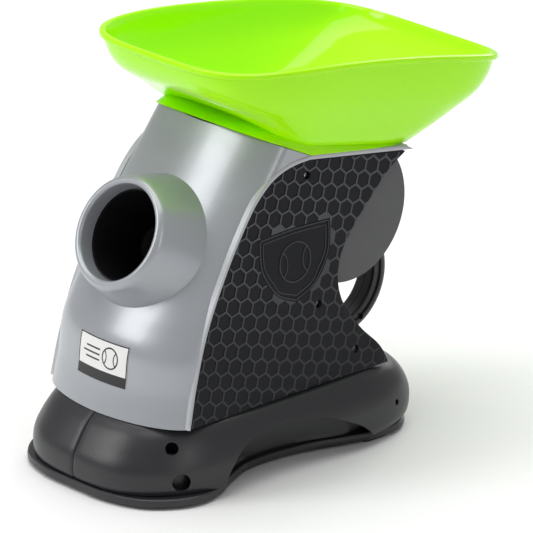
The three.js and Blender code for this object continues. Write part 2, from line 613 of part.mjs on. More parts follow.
// ---- the chassis: two side plates and the bridge between them ----
const mountTop = -WHEEL.halfWidth - 2;
const SHELF = 2.4; // thickness of the shelf each throwing motor hangs from
function chassisPlate(side) {
  const foot = PAN.floor + PAN.floorThick + GAP;
  const leg = polygon([
    [-50, foot], [46, foot], [46, 54], [24, 84], [12, 104], [9, 126], [9, 150], [-30, 150], [-50, 128],
  ]);
  const [near, far] = [PLATE.inner, PLATE.inner + PLATE.thick];
  const [from, to] = [WHEEL.station - 42, WHEEL.station + 15];
  const shelf = barrelBox(near, WHEEL.x + 15, from, to, mountTop - SHELF, mountTop)
    .subtract(riseRod(WHEEL.shaft + 2, WHEEL.station, WHEEL.x, -30, 0, 12));
  const sweep = riseRod(WHEEL.motor + 1, WHEEL.station, WHEEL.x, -80, mountTop - SHELF, 24)
    .add(riseRod(WHEEL.radius + WHEEL.room, WHEEL.station, WHEEL.x, mountTop + 0.1, 40, 24));
  const plate = sideExtrusion(leg, near, far)
    .add(rodX(PLATE.disc, near, far, DRUM.y, DRUM.z, 40))
    .subtract(rodX(PLATE.bore, 0, 60, DRUM.y, DRUM.z, 20))
    .subtract(aboveDeck(-DECK.thick - 3))
    .subtract(rodX(14, 0, 60, -2, 60, 20))
    .subtract(sweep)
    .add(shelf);
  return side > 0 ? plate : mirrored(plate);
}

function chassisBridge() {
  const half = PLATE.inner - GAP;
  const [rear, front] = [PUSHER.solenoidRear + 1, PUSHER.solenoidFront - 2];
  return barrelBox(-half, half, rear, front, -PUSHER.solenoid - 4, -PUSHER.solenoid - GAP);
}

// ---- the throwing wheels, their motors and mounts ----
function wheelHub(side) {
  const x = side * WHEEL.x;
  return riseRod(WHEEL.hub, WHEEL.station, x, -WHEEL.halfWidth, WHEEL.halfWidth, 24)
    .add(riseRod(WHEEL.shaft, WHEEL.station, x, -WHEEL.halfWidth - 8, 0, 10));
}

function wheelTyre(side) {
  const x = side * WHEEL.x;
  return riseRod(WHEEL.radius, WHEEL.station, x, -WHEEL.halfWidth, WHEEL.halfWidth, 28)
    .subtract(riseRod(WHEEL.hub + 0.3, WHEEL.station, x, -20, 20, 24));
}

function wheelMotor(side) {
  const top = mountTop - SHELF - GAP;
  return riseRod(WHEEL.motor, WHEEL.station, side * WHEEL.x, top - WHEEL.motorLength, top, 24)
    .add(riseRod(5, WHEEL.station, side * WHEEL.x, top - WHEEL.motorLength - 3, top - 1, 14))
    .subtract(riseRod(WHEEL.shaft + 0.5, WHEEL.station, side * WHEEL.x, top - 6, top + 1, 10));
}

// ---- the pusher that feeds the ball into the wheels ----
function ballPusher() {
  return barrelRod(PUSHER.head, PUSHER.face - 4, PUSHER.face, 28)
    .add(barrelRod(PUSHER.rod, PUSHER.solenoidRear + 2, PUSHER.face - 3, 14));
}

function pusherSolenoid() {
  return barrelRod(PUSHER.solenoid, PUSHER.solenoidRear, PUSHER.solenoidFront, 24)
    .subtract(barrelRod(PUSHER.rod + GAP, PUSHER.solenoidRear - 1, PUSHER.solenoidFront + 1, 14));
}

// ---- the controls on the back of the drum ----
const rodY = (radius, y0, y1, x, z, sides) => {
  const geometry = new THREE.CylinderGeometry(radius, radius, y1 - y0, sides);
  return solid(geometry, place(x, (y0 + y1) / 2, z));
};
const LED_X = [-11, 0, 11];

function controlPanel() {
  let panel = box(-CONTROL.halfWidth, CONTROL.halfWidth, 70, CONTROL.y, CONTROL.z0, CONTROL.z1)
    .subtract(rodX(DRUM.outer + GAP, -60, 60, DRUM.y, DRUM.z, 44));
  for (const x of [-CONTROL.buttonX, CONTROL.buttonX]) {
    panel = panel.subtract(rodY(CONTROL.button + GAP, 60, 120, x, CONTROL.buttonZ, 20));
  }
  for (const x of LED_X) panel = panel.subtract(rodY(CONTROL.led + 0.3, 60, 120, x, CONTROL.ledZ, 12));
  return panel;
}

const button = (x) => rodY(CONTROL.button, CONTROL.y - 1.6, CONTROL.y + 2.4, x, CONTROL.buttonZ, 20);
const led = (x) => rodY(CONTROL.led, CONTROL.y - 2.5, CONTROL.y + 0.6, x, CONTROL.ledZ, 12);

function dcInlet() {
  return rodY(INLET.radius, 76, 90.4, INLET.x, INLET.z, 20).subtract(rodY(3, 80, 92, INLET.x, INLET.z, 14))
    .add(rodY(1, 79, 88, INLET.x, INLET.z, 8));
}

// ---- screws in the side panels' dark counterbores ----
const PANEL_SCREWS = [[-12.7, 218], [-4.7, 118], [31, 74]];
const panelFace = (z) => BODY.halfWidth - PANEL.reveal - BODY.lean * (z - BODY.bottom);

function panelScrew(side, y, z) {
  const face = panelFace(z);
  const screw = rodX(2.7, face - 3.4, face - 1.4, y, z, 14).add(rodX(1.3, face - 8, face - 3, y, z, 8));
  return side > 0 ? screw : mirrored(screw);
}

function frontLabel() {
  return bodyStack(-GAP - LABEL.thick, 9, 32).subtract(bodyStack(-GAP, 9, 32))
    .intersect(box(-LABEL.halfWidth, LABEL.halfWidth, -200, -120, LABEL.z0, LABEL.z1));
}

function sidePanel(side) {
  const outer = BODY.halfWidth - PANEL.reveal;
  let plate = leaningPlate(panelOutline(GAP), outer - PANEL.thick, outer);
  for (const [y, z] of PANEL_SCREWS) plate = plate.subtract(rodX(3.1, 40, 90, y, z, 14));
  return side > 0 ? plate : mirrored(plate);
}

// ---- the assembly ----
add("front_shell", frontShell(), SILVER);
add("front_label", frontLabel(), WHITE);
add("top_deck", topDeck(), TRIM);
for (const [side, name] of [[1, "left"], [-1, "right"]]) {
  add("side_panel_" + name, sidePanel(side), BLACK);
  PANEL_SCREWS.forEach(([y, z], i) => add(`panel_screw_${name}_${i + 1}`, panelScrew(side, y, z), STEEL));
  add("drum_cap_" + name, drumCap(side), GRAPHITE);
  add("handle_half_" + name, handleHalf(side), SATIN);
  const skirt = skirtHalf(side);
  const inletHole = rodY(INLET.radius + GAP, 60, 100, INLET.x, INLET.z, 20);
  add("skirt_" + name, side > 0 ? skirt.subtract(inletHole) : skirt, SATIN);
  for (const [end, x, y] of FEET) add(`foot_${end}_${name}`, foot(side * x, y), RUBBER);
  add("chassis_plate_" + name, chassisPlate(side), BLACK);
  add("wheel_hub_" + name, wheelHub(side), GRAPHITE);
  add("wheel_tyre_" + name, wheelTyre(side), RUBBER);
  add("wheel_motor_" + name, wheelMotor(side), STEEL);
}
add("drum_shell", drumShell(), GRAPHITE);
add("rear_cover", rearCover(), SATIN);
add("launch_tube", launchTube(), BLACK);
add("ball_rotor", ballRotor(), GRAPHITE);
add("rotor_gear", gearAboutX(GEAR.teeth, GEAR.x0, GEAR.x1, DRUM.y, DRUM.z, ROTOR.stub + 0.3, 0), TRIM);
add("motor_pinion", gearAboutX(GEAR.pinionTeeth, GEAR.x0, GEAR.x1 + 1.8, ...pinionAt, 0, 0), BRASS);
add("feed_motor", feedMotor(), STEEL);
add("chassis_bridge", chassisBridge(), STEEL);
add("ball_pusher", ballPusher(), GRAPHITE);
add("pusher_solenoid", pusherSolenoid(), STEEL);
add("bottom_pan", bottomPan(), SATIN);
add("battery_door", batteryDoor(), SATIN);
add("battery_holder", batteryHolder(), BLACK);
for (let row = 0; row < CELL.rows; row += 1) {
  add("battery_left_" + (row + 1), cell(0.8, row), CELL_SKIN);
  add("battery_right_" + (row + 1), cell(-CELL.length - 0.2, row), CELL_SKIN);
}
add("circuit_board", box(-34, 34, -58, 20, 22, 23.6), GREEN_BOARD);
add("speaker", rodZ(16, PAN.floor + PAN.floorThick + GAP, 12, 0, 38, 24), BLACK);
add("ball_sensor", barrelBox(-6, 6, 52, 62, -TUBE.outer - 6, -TUBE.outer - GAP), GREEN_BOARD);
add("control_panel", controlPanel(), SATIN);
add("power_button", button(-CONTROL.buttonX), LIME);
add("range_button", button(CONTROL.buttonX), TRIM);
LED_X.forEach((x, i) => add("range_led_" + (i + 1), led(x), LED_GREEN));
add("dc_inlet", dcInlet(), BLACK);
add("hopper", hopper(), LIME);

export default model;
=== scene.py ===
"""The looks of an automatic tennis-ball launcher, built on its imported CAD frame.

Sizes in the shape functions are in millimetres, and every mesh is scaled to metres as it is made.
+X is the launcher's left, -Y its front, +Z up.
"""
import math

import bmesh
import bpy
import numpy as np
from mathutils import Matrix, Vector


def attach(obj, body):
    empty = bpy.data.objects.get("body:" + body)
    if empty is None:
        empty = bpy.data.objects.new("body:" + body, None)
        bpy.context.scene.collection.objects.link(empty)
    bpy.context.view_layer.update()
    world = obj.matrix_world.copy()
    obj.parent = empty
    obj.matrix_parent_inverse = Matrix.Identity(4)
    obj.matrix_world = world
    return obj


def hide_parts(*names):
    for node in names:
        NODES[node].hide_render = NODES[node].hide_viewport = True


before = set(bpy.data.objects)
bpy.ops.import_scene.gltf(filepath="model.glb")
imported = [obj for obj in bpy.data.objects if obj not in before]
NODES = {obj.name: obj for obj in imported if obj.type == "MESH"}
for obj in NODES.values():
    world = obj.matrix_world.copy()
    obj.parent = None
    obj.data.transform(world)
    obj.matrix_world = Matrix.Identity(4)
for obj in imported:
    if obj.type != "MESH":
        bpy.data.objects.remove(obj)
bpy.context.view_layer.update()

MM = 0.001

# ---- driving sizes, as in the CAD ----
SIDES = {1: "left", -1: "right"}
GAP = 0.4
PITCH = math.radians(28.2)
MOUTH = np.array([0.0, -136.0, 187.5])
DRUM = {"y": 34.4, "z": 178.7, "outer": 54.7, "inner": 52.0, "shell_half": 60.8, "roof_gap": 3.8}
BODY = {"bottom": 52.0, "half": 75.0, "lean": 0.037, "corner": 31.0, "round": 1.9}
DECK = {"knee": -10.0, "knee_z": 232.5, "rear": -0.157, "front": -0.47, "thick": 3.4}
RIM = {
    "half": 93.5, "length": 141.1, "y": 40.2, "z": 291.0, "slope": -0.157, "crown": 8.8,
    "fore": 4.185, "aft": 5.5,
}
COLLAR = {"half": 69.6, "front": -56.5, "rear": 96.0, "fore": 4.2, "aft": 5.0}
FOOT = {
    "half": 68.0, "front": -54.0, "rear": 112.0, "square": 5.0, "recess": 17.0,
    "lift": 7.0, "fade": 0.066, "least": 1.0,
}
FOOT_FRONT = {"lift": 4.0, "half": 60.0}
# The bowl's wall from its foot to its rim, as shares of the way out and of the way up.
BOWL_WALL = [
    (0, 0), (0.2, 0.12), (0.38, 0.235), (0.54, 0.345), (0.7, 0.455), (0.83, 0.58), (0.93, 0.76), (1, 1),
]
BOWL_FLOOR = 9.5  # over the deck's line
FUNNEL = 6.0  # how much higher than its middle the bowl's floor is at its edge, at least
FLOOR_SLOPE = {"front": 0.38, "rear": 0.07, "side": 0.08}
BEAD = 1.6  # how far the rim's bead stands out
WALL = 2.6  # the bowl's thickness
THROAT = {"bore": 35.4, "outer": 37.2, "hole": 38.4, "bottom": 222.4}
SHELL = {"bottom": 55.6, "knee": 222.0, "top": 252.5, "wall": 2.4, "bore": 37.2}
SKIRT_SQUARE = (3.0, 4.4)  # of the superellipse in front and behind
SEAM = {"half": 0.25, "reach": 2.6, "depth": 1.1}
HANDLE = {"y": 77.5, "z": 99.0, "outer": 45.5, "inner": 34.0}
HEX = {"pitch": 12.6, "line": 1.15, "turn": math.radians(-16.0), "y": -18.6, "z": 219.1, "depth": 0.5}
PANEL_SCREWS = [(-12.7, 218.0), (-4.7, 118.0), (31.0, 74.0)]
PAN = {"wall_top": 37.0, "half": 84.5, "front": -170.0, "rear": 92.0, "set_in": 6.5, "wall": 2.6}
PAN_WALL = {"widest": 72.0, "front": -156.0, "rear": 72.0}
PANEL_TOP, PANEL_KNEE = 229.5, -11.0
PANEL_FACE = BODY["half"] - 0.5
EMBLEM = {"y": -27.0, "z": 156.0, "ball": 15.0}
LABEL = {"half": 25.8, "low": 77.8, "high": 108.4}
PRINT = (0.5, 0.12)  # how far ink stands off the shell, and its thickness
BUTTONS, LEDS = (-15, 15), (-11, 0, 11)
FEET = [("front", 66.0, -136.0), ("rear", 70.0, 48.0)]
FAR, HIGH, WIDE = 220, 420, 120  # past the object's ends, top and sides, for cutters

# The body's front in the middle plane, as (z, y), and the panels' edges, as (y, z).
FRONT_PROFILE = [
    (52, -160), (78, -153.5), (106, -149.5), (124, -141), (150, -125), (190, -101), (225, -75), (253, -54),
]
PANEL_FRONT = [
    (-133, 55.5), (-126, 86), (-113, 126), (-92, 167), (-76, 192), (-63, 209), (-47, 222), (-30, 228),
    (PANEL_KNEE, PANEL_TOP),
]
PANEL_REAR = [
    (86, 213.5), (69, 204), (49, 186), (31, 168), (18.5, 150), (15, 134), (18, 117), (26, 103), (38, 88),
    (56, 70), (64, 55.5),
]
# The skirt's plan at some heights, as (z, half width, front, rear).
SKIRT_RINGS = [
    (9, 89.5, -179, 95), (13, 91, -180.7, 99), (26, 91, -180, 101), (38, 88, -173.5, 98),
    (48, 83, -166.5, 91), (53, 79, -161.5, 84),
]
SKIRT_ARCH = [
    (-110, 5), (-107, 18), (-98, 30), (-86, 38), (-70, 42.5), (-50, 43.5), (-28, 41), (-8, 35), (10, 27),
    (26, 18), (40, 5),
]
# The right half of the pan's lip in plan. The left half is its mirror image.
PAN_EDGE = [
    (0, -181.3), (32, -180.1), (60, -171), (75, -157), (84, -140), (86, -125), (82, -109), (72, -90),
    (63, -66), (62, -40), (67, -8), (76, 20), (82, 45), (80, 72), (62, 90), (30, 96), (0, 97),
]
MIRROR = Matrix.Scale(-1, 4, (1, 0, 0))


# ---- curves ----
def smooth(points, count, closed=False):
    """count points, evenly spread, on a centripetal Catmull-Rom curve through the given ones."""
    given = np.array(points, float)
    if closed:
        ring = np.vstack([given[-1], given, given[0], given[1]])
    else:
        ring = np.vstack([2 * given[0] - given[1], given, 2 * given[-1] - given[-2]])
    made = []
    for p0, p1, p2, p3 in zip(ring, ring[1:], ring[2:], ring[3:]):
        t1 = np.linalg.norm(p1 - p0) ** 0.5
        t2 = t1 + np.linalg.norm(p2 - p1) ** 0.5
        t3 = t2 + np.linalg.norm(p3 - p2) ** 0.5
        for t in np.linspace(t1, t2, 16, endpoint=False):
            a1 = p0 * (t1 - t) / t1 + p1 * t / t1
            a2 = p1 * (t2 - t) / (t2 - t1) + p2 * (t - t1) / (t2 - t1)
            a3 = p2 * (t3 - t) / (t3 - t2) + p3 * (t - t2) / (t3 - t2)
            b1 = a1 * (t2 - t) / t2 + a2 * t / t2
            b2 = a2 * (t3 - t) / (t3 - t1) + a3 * (t - t1) / (t3 - t1)
            made.append(b1 * (t2 - t) / (t2 - t1) + b2 * (t - t1) / (t2 - t1))
    made.append(given[0] if closed else given[-1])
    return resample(np.array(made), count, closed)


def resample(points, count, closed=False):
    """count points evenly spaced by length along a polyline."""
    steps = np.linalg.norm(np.diff(points, axis=0), axis=1)
    along = np.concatenate([[0], np.cumsum(steps)])
    where = np.linspace(0, along[-1], count, endpoint=not closed)
    return np.stack([np.interp(where, along, points[:, k]) for k in range(points.shape[1])], axis=1)


def normals(path, closed):
    """The unit normals of a path in a plane."""
    ahead = np.roll(path, -1, axis=0) - path if closed else np.gradient(path, axis=0)
    behind = path - np.roll(path, 1, axis=0) if closed else ahead
    step = ahead + behind
    step /= np.linalg.norm(step, axis=1)[:, None]
    return np.stack([-step[:, 1], step[:, 0]], axis=1)


def power(value, exponent):
    return math.copysign(abs(value) ** exponent, value)


def circle(sides):
    """Angles spread evenly round a circle."""
    return [2 * math.pi * i / sides for i in range(sides)]


def soft_rectangle(half, low, high, corner, count):
    """A rectangle across x and one more axis, with its corners eased."""
    inner = half - corner
    points = [(-half, low + corner), (-half, high - corner), (-inner, high), (inner, high)]
    points += [(half, high - corner), (half, low + corner), (inner, low), (-inner, low)]
    return smooth(points, count, closed=True)


def rounded(angle, half, front, rear, square, aft=None):
    """A point of a superellipse in plan. aft is the squareness behind its middle, where that differs."""
    middle, reach = (front + rear) / 2, (rear - front) / 2
    if aft and math.sin(angle) >= 0:
        square = aft
    return half * power(math.cos(angle), 2 / square), middle + reach * power(math.sin(angle), 2 / square)


def deck_line(y):
    """The height of the deck's top at a y: two slopes that meet at the knee."""
    return DECK["knee_z"] + (DECK["front"] if y < DECK["knee"] else DECK["rear"]) * (y - DECK["knee"])


def above_deck(drop=0.0):
    """All that lies over the deck's line, lowered by a distance, as an outline in y and z."""
    knee = (DECK["knee"], DECK["knee_z"] - drop)
    return [(-FAR, deck_line(-FAR) - drop), knee, (FAR, deck_line(FAR) - drop), (FAR, HIGH), (-FAR, HIGH)]


def rim_height(y):
    far = (y - RIM["y"]) / RIM["length"]
    return RIM["z"] + RIM["slope"] * (y - RIM["y"]) + RIM["crown"] * (1 - far * far)


front_curve = smooth(FRONT_PROFILE, 120)


def body_front(z):
    return float(np.interp(z, front_curve[:, 0], front_curve[:, 1]))


def leaned(x, z):
    """An x at a height, moved in as the body's sides lean in."""
    return x - BODY["lean"] * (z - BODY["bottom"])


def body_half(z):
    return leaned(BODY["half"], z)


def skin(x, z, out=0.0):
    """The body's front surface at an x and a height, moved out by a distance."""
    share = min(abs(x) / body_half(z), 1.0)
    depth = BODY["corner"] * (1 - (1 - share ** BODY["round"]) ** (1 / BODY["round"]))
    return np.array([x, body_front(z) + depth - out, z])


# ---- the barrel's own frame ----
ALONG = np.array([0.0, -math.cos(PITCH), math.sin(PITCH)])
RISE = np.array([0.0, math.sin(PITCH), math.cos(PITCH)])


def barrel_point(back, angle, radius):
    """A point a distance back from the muzzle, at an angle and a radius about the barrel's axis."""
    return MOUTH - ALONG * back + radius * (math.cos(angle) * np.array([1.0, 0, 0]) + math.sin(angle) * RISE)


# ---- meshes ----
def new_object(name, verts, faces):
    """An object from vertices in millimetres."""
    mesh = bpy.data.meshes.new(name)
    mesh.from_pydata([tuple(float(c) * MM for c in v) for v in verts], [], [tuple(f) for f in faces])
    made = bpy.data.objects.new(name, mesh)
    bpy.context.scene.collection.objects.link(made)
    return made


def faced_out(made, weld=False):
    """The object with its faces turned outwards and, with weld, its doubled points joined."""
    bm = bmesh.new()
    bm.from_mesh(made.data)
    if weld:
        bmesh.ops.remove_doubles(bm, verts=bm.verts, dist=1e-6)
    bmesh.ops.recalc_face_normals(bm, faces=bm.faces)
    bm.to_mesh(made.data)
    bm.free()
    return made


def piece(name, verts, faces, body, slot, material, edge=35.0, replaces=()):
    """A named mesh in millimetres that rides on a body."""
    return dress(new_object(name, verts, faces), body, material, edge, replaces)


def dress(made, body, material, edge=35.0, replaces=()):
    """Gives an object its materials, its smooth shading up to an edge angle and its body."""
    faced_out(made, weld=True)
    made.data.materials.clear()
    for each in material if isinstance(material, (list, tuple)) else [material]:
        made.data.materials.append(each)
    made.data.shade_smooth()
    made.data.set_sharp_from_angle(angle=math.radians(edge))
    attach(made, body)
    if replaces:
        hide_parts(*replaces)
    return made


def loft(rings, closed=True, start_cap=False, end_cap=False, looped=False):
    """Vertices and faces through rings of equal length. looped joins the last ring to the first."""
    count = len(rings[0])
    verts = [v for ring in rings for v in ring]
    faces = []
    spans = len(rings) if looped else len(rings) - 1
    for r in range(spans):
        a, b = r * count, ((r + 1) % len(rings)) * count
        for i in range(count if closed else count - 1):
            j = (i + 1) % count
            faces.append((a + i, a + j, b + j, b + i))
    if start_cap:
        faces.append(tuple(range(count))[::-1])
    if end_cap:
        faces.append(tuple(range(len(verts) - count, len(verts))))
    return verts, faces


def capped(rings):
    """A closed body through rings, both ends filled."""
    return loft(rings, start_cap=True, end_cap=True)


def extruded(outline, x0, x1, lean=False):
    """A plate from an outline in y and z, between two x. With lean it follows the body's leaning side."""
    return capped([[(leaned(x, z) if lean else x, y, z) for y, z in outline] for x in (x0, x1)])


def block(xs, ys, zs):
    """A box between two x, two y and two z."""
    (x0, x1), (y0, y1) = xs, ys
    return capped([[(x0, y0, z), (x1, y0, z), (x1, y1, z), (x0, y1, z)] for z in zs])


def mirror(verts, faces):
    return [(-x, y, z) for x, y, z in verts], [tuple(reversed(f)) for f in faces]


def sided(made, side):
    return made if side > 0 else mirror(*made)


def about_drum(profile, turns):
    """Rings about the drum's axis, from (x, radius) points."""
    y, z = DRUM["y"], DRUM["z"]
    return [[(x, y + radius * math.cos(t), z + radius * math.sin(t)) for t in turns] for x, radius in profile]


def raw(verts, faces):
    """A body to cut with, or to cut and then dress."""
    return faced_out(new_object("cutter", verts, faces))


def baked(made):
    """The object with its modifiers applied."""
    bpy.context.view_layer.update()
    evaluated = made.evaluated_get(bpy.context.evaluated_depsgraph_get())
    mesh = bpy.data.meshes.new_from_object(evaluated)
    made.modifiers.clear()
    made.data = mesh
    return made


def cut(made, verts, faces, operation="DIFFERENCE"):
    """The object less a body, or with INTERSECT only what lies in both."""
    cutter = raw(verts, faces)
    modifier = made.modifiers.new("cut", "BOOLEAN")
    modifier.operation = operation
    modifier.solver = "EXACT"
    modifier.object = cutter
    baked(made)
    bpy.data.objects.remove(cutter)
    return made


def bevelled(made, width, segments=3, angle=35.0):
    modifier = made.modifiers.new("bevel", "BEVEL")
    modifier.width = width * MM
    modifier.segments = segments
    modifier.limit_method = "ANGLE"
    modifier.angle_limit = math.radians(angle)
    modifier.use_clamp_overlap = True
    return baked(made)


def solidified(made, thickness):
    modifier = made.modifiers.new("wall", "SOLIDIFY")
    modifier.thickness = thickness * MM
    modifier.offset = -1.0
    return baked(made)


def rod(axis, radius, start, length, sides=24):
    """A closed cylinder from a point along an axis."""
    axis = np.array(axis, float) / np.linalg.norm(axis)
    side = np.cross(axis, [0, 0, 1] if abs(axis[2]) < 0.9 else [1, 0, 0])
    side /= np.linalg.norm(side)
    up = np.cross(axis, side)
    spokes = [radius * (math.cos(t) * side + math.sin(t) * up) for t in circle(sides)]
    ends = [np.array(start) + axis * along for along in (0, length)]
    return capped([[tuple(end + spoke) for spoke in spokes] for end in ends])


# ---- materials ----
def noise(tree, where, scale, detail):
    made = tree.nodes.new("ShaderNodeTexNoise")
    made.inputs["Scale"].default_value = scale
    made.inputs["Detail"].default_value = detail
    made.inputs["Roughness"].default_value = 0.55
    tree.links.new(where, made.inputs["Vector"])
    return made.outputs["Fac"]


def spread(tree, value, low, high, from_low=0.0, from_high=1.0):
    """A value mapped from one range to another, and held at its ends."""
    made = tree.nodes.new("ShaderNodeMapRange")
    made.inputs["From Min"].default_value = from_low
    made.inputs["From Max"].default_value = from_high
    made.inputs["To Min"].default_value = low
    made.inputs["To Max"].default_value = high
    tree.links.new(value, made.inputs["Value"])
    return made.outputs["Result"]


def tint(tree, factor, first, second):
    """A mix of two colours. Each is a colour, or a socket that gives one."""
    made = tree.nodes.new("ShaderNodeMix")
    made.data_type = "RGBA"
    for end, value in (("A", first), ("B", second)):
        if isinstance(value, tuple):
            made.inputs[end].default_value = (*value, 1)
        else:
            tree.links.new(value, made.inputs[end])
    tree.links.new(factor, made.inputs["Factor"])
    return made.outputs["Result"]


def shade(colour, factor):
    return tuple(min(c * factor, 1.0) for c in colour)


def moulded(name, colour, rough, grain, cloud=0.08, edge_highlight=1.25, coat=0.0, metallic=0.0, shine=0.5):
    """Moulded or painted plastic: cloudy colour, uneven gloss, a fine surface grain and a painted highlight
    on its edges.

    rough is the least and the most roughness, grain the scale and the strength of the bump, cloud the
    share by which the colour varies, and the next argument how much lighter the edges are painted, as a
    painted highlight.
    """
    material = bpy.data.materials.new(name)
    material.use_nodes = True
    tree = material.node_tree
    shader = tree.nodes["Principled BSDF"]
    where = tree.nodes.new("ShaderNodeTexCoord").outputs["Object"]
    clouds = noise(tree, where, 14.0, 1.0)
    smudges = noise(tree, where, 45.0, 1.0)
    fine = noise(tree, where, grain[0], 2.0)
    base = tint(tree, clouds, shade(colour, 1 - cloud), shade(colour, 1 + cloud))
    # Convex edges, found by their pointiness, are painted lighter: a painted highlight along every edge.
    if edge_highlight > 1:
        edges = tree.nodes.new("ShaderNodeNewGeometry").outputs["Pointiness"]
        base = tint(tree, spread(tree, edges, 0, 1, 0.53, 0.62), base, shade(colour, edge_highlight))
    tree.links.new(base, shader.inputs["Base Color"])
    tree.links.new(spread(tree, smudges, *rough), shader.inputs["Roughness"])
    bump = tree.nodes.new("ShaderNodeBump")
    bump.inputs["Strength"].default_value = grain[1]
    bump.inputs["Distance"].default_value = 0.0004
    tree.links.new(fine, bump.inputs["Height"])
    tree.links.new(bump.outputs["Normal"], shader.inputs["Normal"])
    shader.inputs["Metallic"].default_value = metallic
    shader.inputs["Coat Weight"].default_value = coat
    shader.inputs["Coat Roughness"].default_value = 0.08
    shader.inputs["Specular IOR Level"].default_value = shine
    return material


def lime_moulding(name, colour):
    """Glossy, slightly translucent plastic."""
    material = moulded(name, colour, (0.1, 0.18), (60.0, 0.006), cloud=0.03, edge_highlight=1.0, coat=0.1, shine=0.3)
    shader = material.node_tree.nodes["Principled BSDF"]
    shader.inputs["Subsurface Weight"].default_value = 0.2
    shader.inputs["Subsurface Radius"].default_value = (1.0, 1.0, 0.2)
    shader.inputs["Subsurface Scale"].default_value = 0.006
    return material


def fading_lines(name, colour, dark):
    """The honeycomb's raised lines, which lose themselves towards the panel's lower rear."""
    material = moulded(name, colour, (0.36, 0.5), (1500.0, 0.1), edge_highlight=1.3, shine=0.25)
    tree = material.node_tree
    shader = tree.nodes["Principled BSDF"]
    where = tree.nodes.new("ShaderNodeTexCoord").outputs["Object"]
    split = tree.nodes.new("ShaderNodeSeparateXYZ")
    tree.links.new(where, split.inputs["Vector"])
    high = spread(tree, split.outputs["Z"], 0.0, 1.0, 0.085, 0.2)
    fore = spread(tree, split.outputs["Y"], 0.25, 0.0, -0.06, 0.06)
    total = tree.nodes.new("ShaderNodeMath")
    total.operation = "ADD"
    total.use_clamp = True
    tree.links.new(high, total.inputs[0])
    tree.links.new(fore, total.inputs[1])
    plain = shader.inputs["Base Color"].links[0].from_socket
    faded = tint(tree, total.outputs["Value"], dark, plain)
    tree.links.new(faded, shader.inputs["Base Color"])
    return material


# The edge factor of each material below sets how much lighter its edges are painted, as a painted highlight.
LIME = lime_moulding("lime_plastic", (0.42, 0.95, 0.0))
SILVER = moulded(
    "silver_paint", (0.36, 0.375, 0.40), (0.26, 0.34), (60.0, 0.006),
    cloud=0.04, edge_highlight=1.0, coat=0.25, metallic=0.35,
)
TRIM = moulded(
    "trim_paint", (0.38, 0.39, 0.41), (0.3, 0.42), (60.0, 0.006), cloud=0.05, edge_highlight=1.3, metallic=0.3,
)
PANEL_LINE = fading_lines("panel_line", (0.062, 0.064, 0.072), (0.018, 0.018, 0.021))
PANEL_CELL = moulded("panel_cell", (0.009, 0.0092, 0.012), (0.3, 0.42), (900.0, 0.08), edge_highlight=1.3, shine=0.12)
PANEL_BLACK = moulded("panel_black", (0.016, 0.0165, 0.019), (0.34, 0.48), (1200.0, 0.1), edge_highlight=1.6)
BASE = moulded("base_black", (0.018, 0.018, 0.021), (0.28, 0.42), (600.0, 0.2), cloud=0.12, edge_highlight=1.9)
GRAPHITE = moulded("graphite", (0.085, 0.085, 0.09), (0.55, 0.7), (800.0, 0.3), cloud=0.06, edge_highlight=1.4)
TUBE = moulded("tube_black", (0.006, 0.006, 0.007), (0.3, 0.4), (600.0, 0.1), edge_highlight=1.5)
RUBBER = moulded("rubber", (0.012, 0.012, 0.013), (0.75, 0.9), (500.0, 0.35), edge_highlight=1.8)
STEEL = moulded("plated_steel", (0.55, 0.56, 0.58), (0.22, 0.38), (300.0, 0.06), edge_highlight=1.1, metallic=1.0)
BRASS = moulded("brass", (0.55, 0.4, 0.12), (0.24, 0.36), (400.0, 0.05), edge_highlight=1.1, metallic=1.0)
WHITE = moulded("label_white", (0.8, 0.8, 0.79), (0.35, 0.45), (1500.0, 0.03), cloud=0.02, edge_highlight=1.0)
INK = moulded("label_ink", (0.012, 0.012, 0.013), (0.35, 0.45), (1500.0, 0.03), cloud=0.05, edge_highlight=1.0)
BOARD = moulded("circuit_green", (0.012, 0.107, 0.033), (0.35, 0.5), (240.0, 0.3), cloud=0.2, edge_highlight=1.2)
CELLS = moulded(
    "cell_sleeve", (0.2, 0.22, 0.25), (0.25, 0.35), (200.0, 0.05), cloud=0.1, edge_highlight=1.3, metallic=0.6,
)
LENS = moulded("led_lens", (0.1, 0.6, 0.12), (0.08, 0.14), (300.0, 0.02), cloud=0.05, edge_highlight=1.2, coat=0.8)


# ---- the hopper ----
def foot_point(angle, inset):
    """Where the bowl's wall springs from its collar. The front is set back and raised in the middle."""
    half = FOOT["half"] - inset
    x, y = rounded(angle, half, FOOT["front"] + inset, FOOT["rear"] - inset, FOOT["square"])
    in_front = math.sin(angle) < 0
    if in_front:
        y += FOOT["recess"] * (1 - (x / half) ** 2)
    lift = max(FOOT["lift"] - FOOT["fade"] * max(y - DECK["knee"], 0), FOOT["least"])
    if in_front:
        lift += FOOT_FRONT["lift"] * (1 - min(abs(x) / FOOT_FRONT["half"], 1) ** 3)
    return np.array([x, y, deck_line(y) + lift])


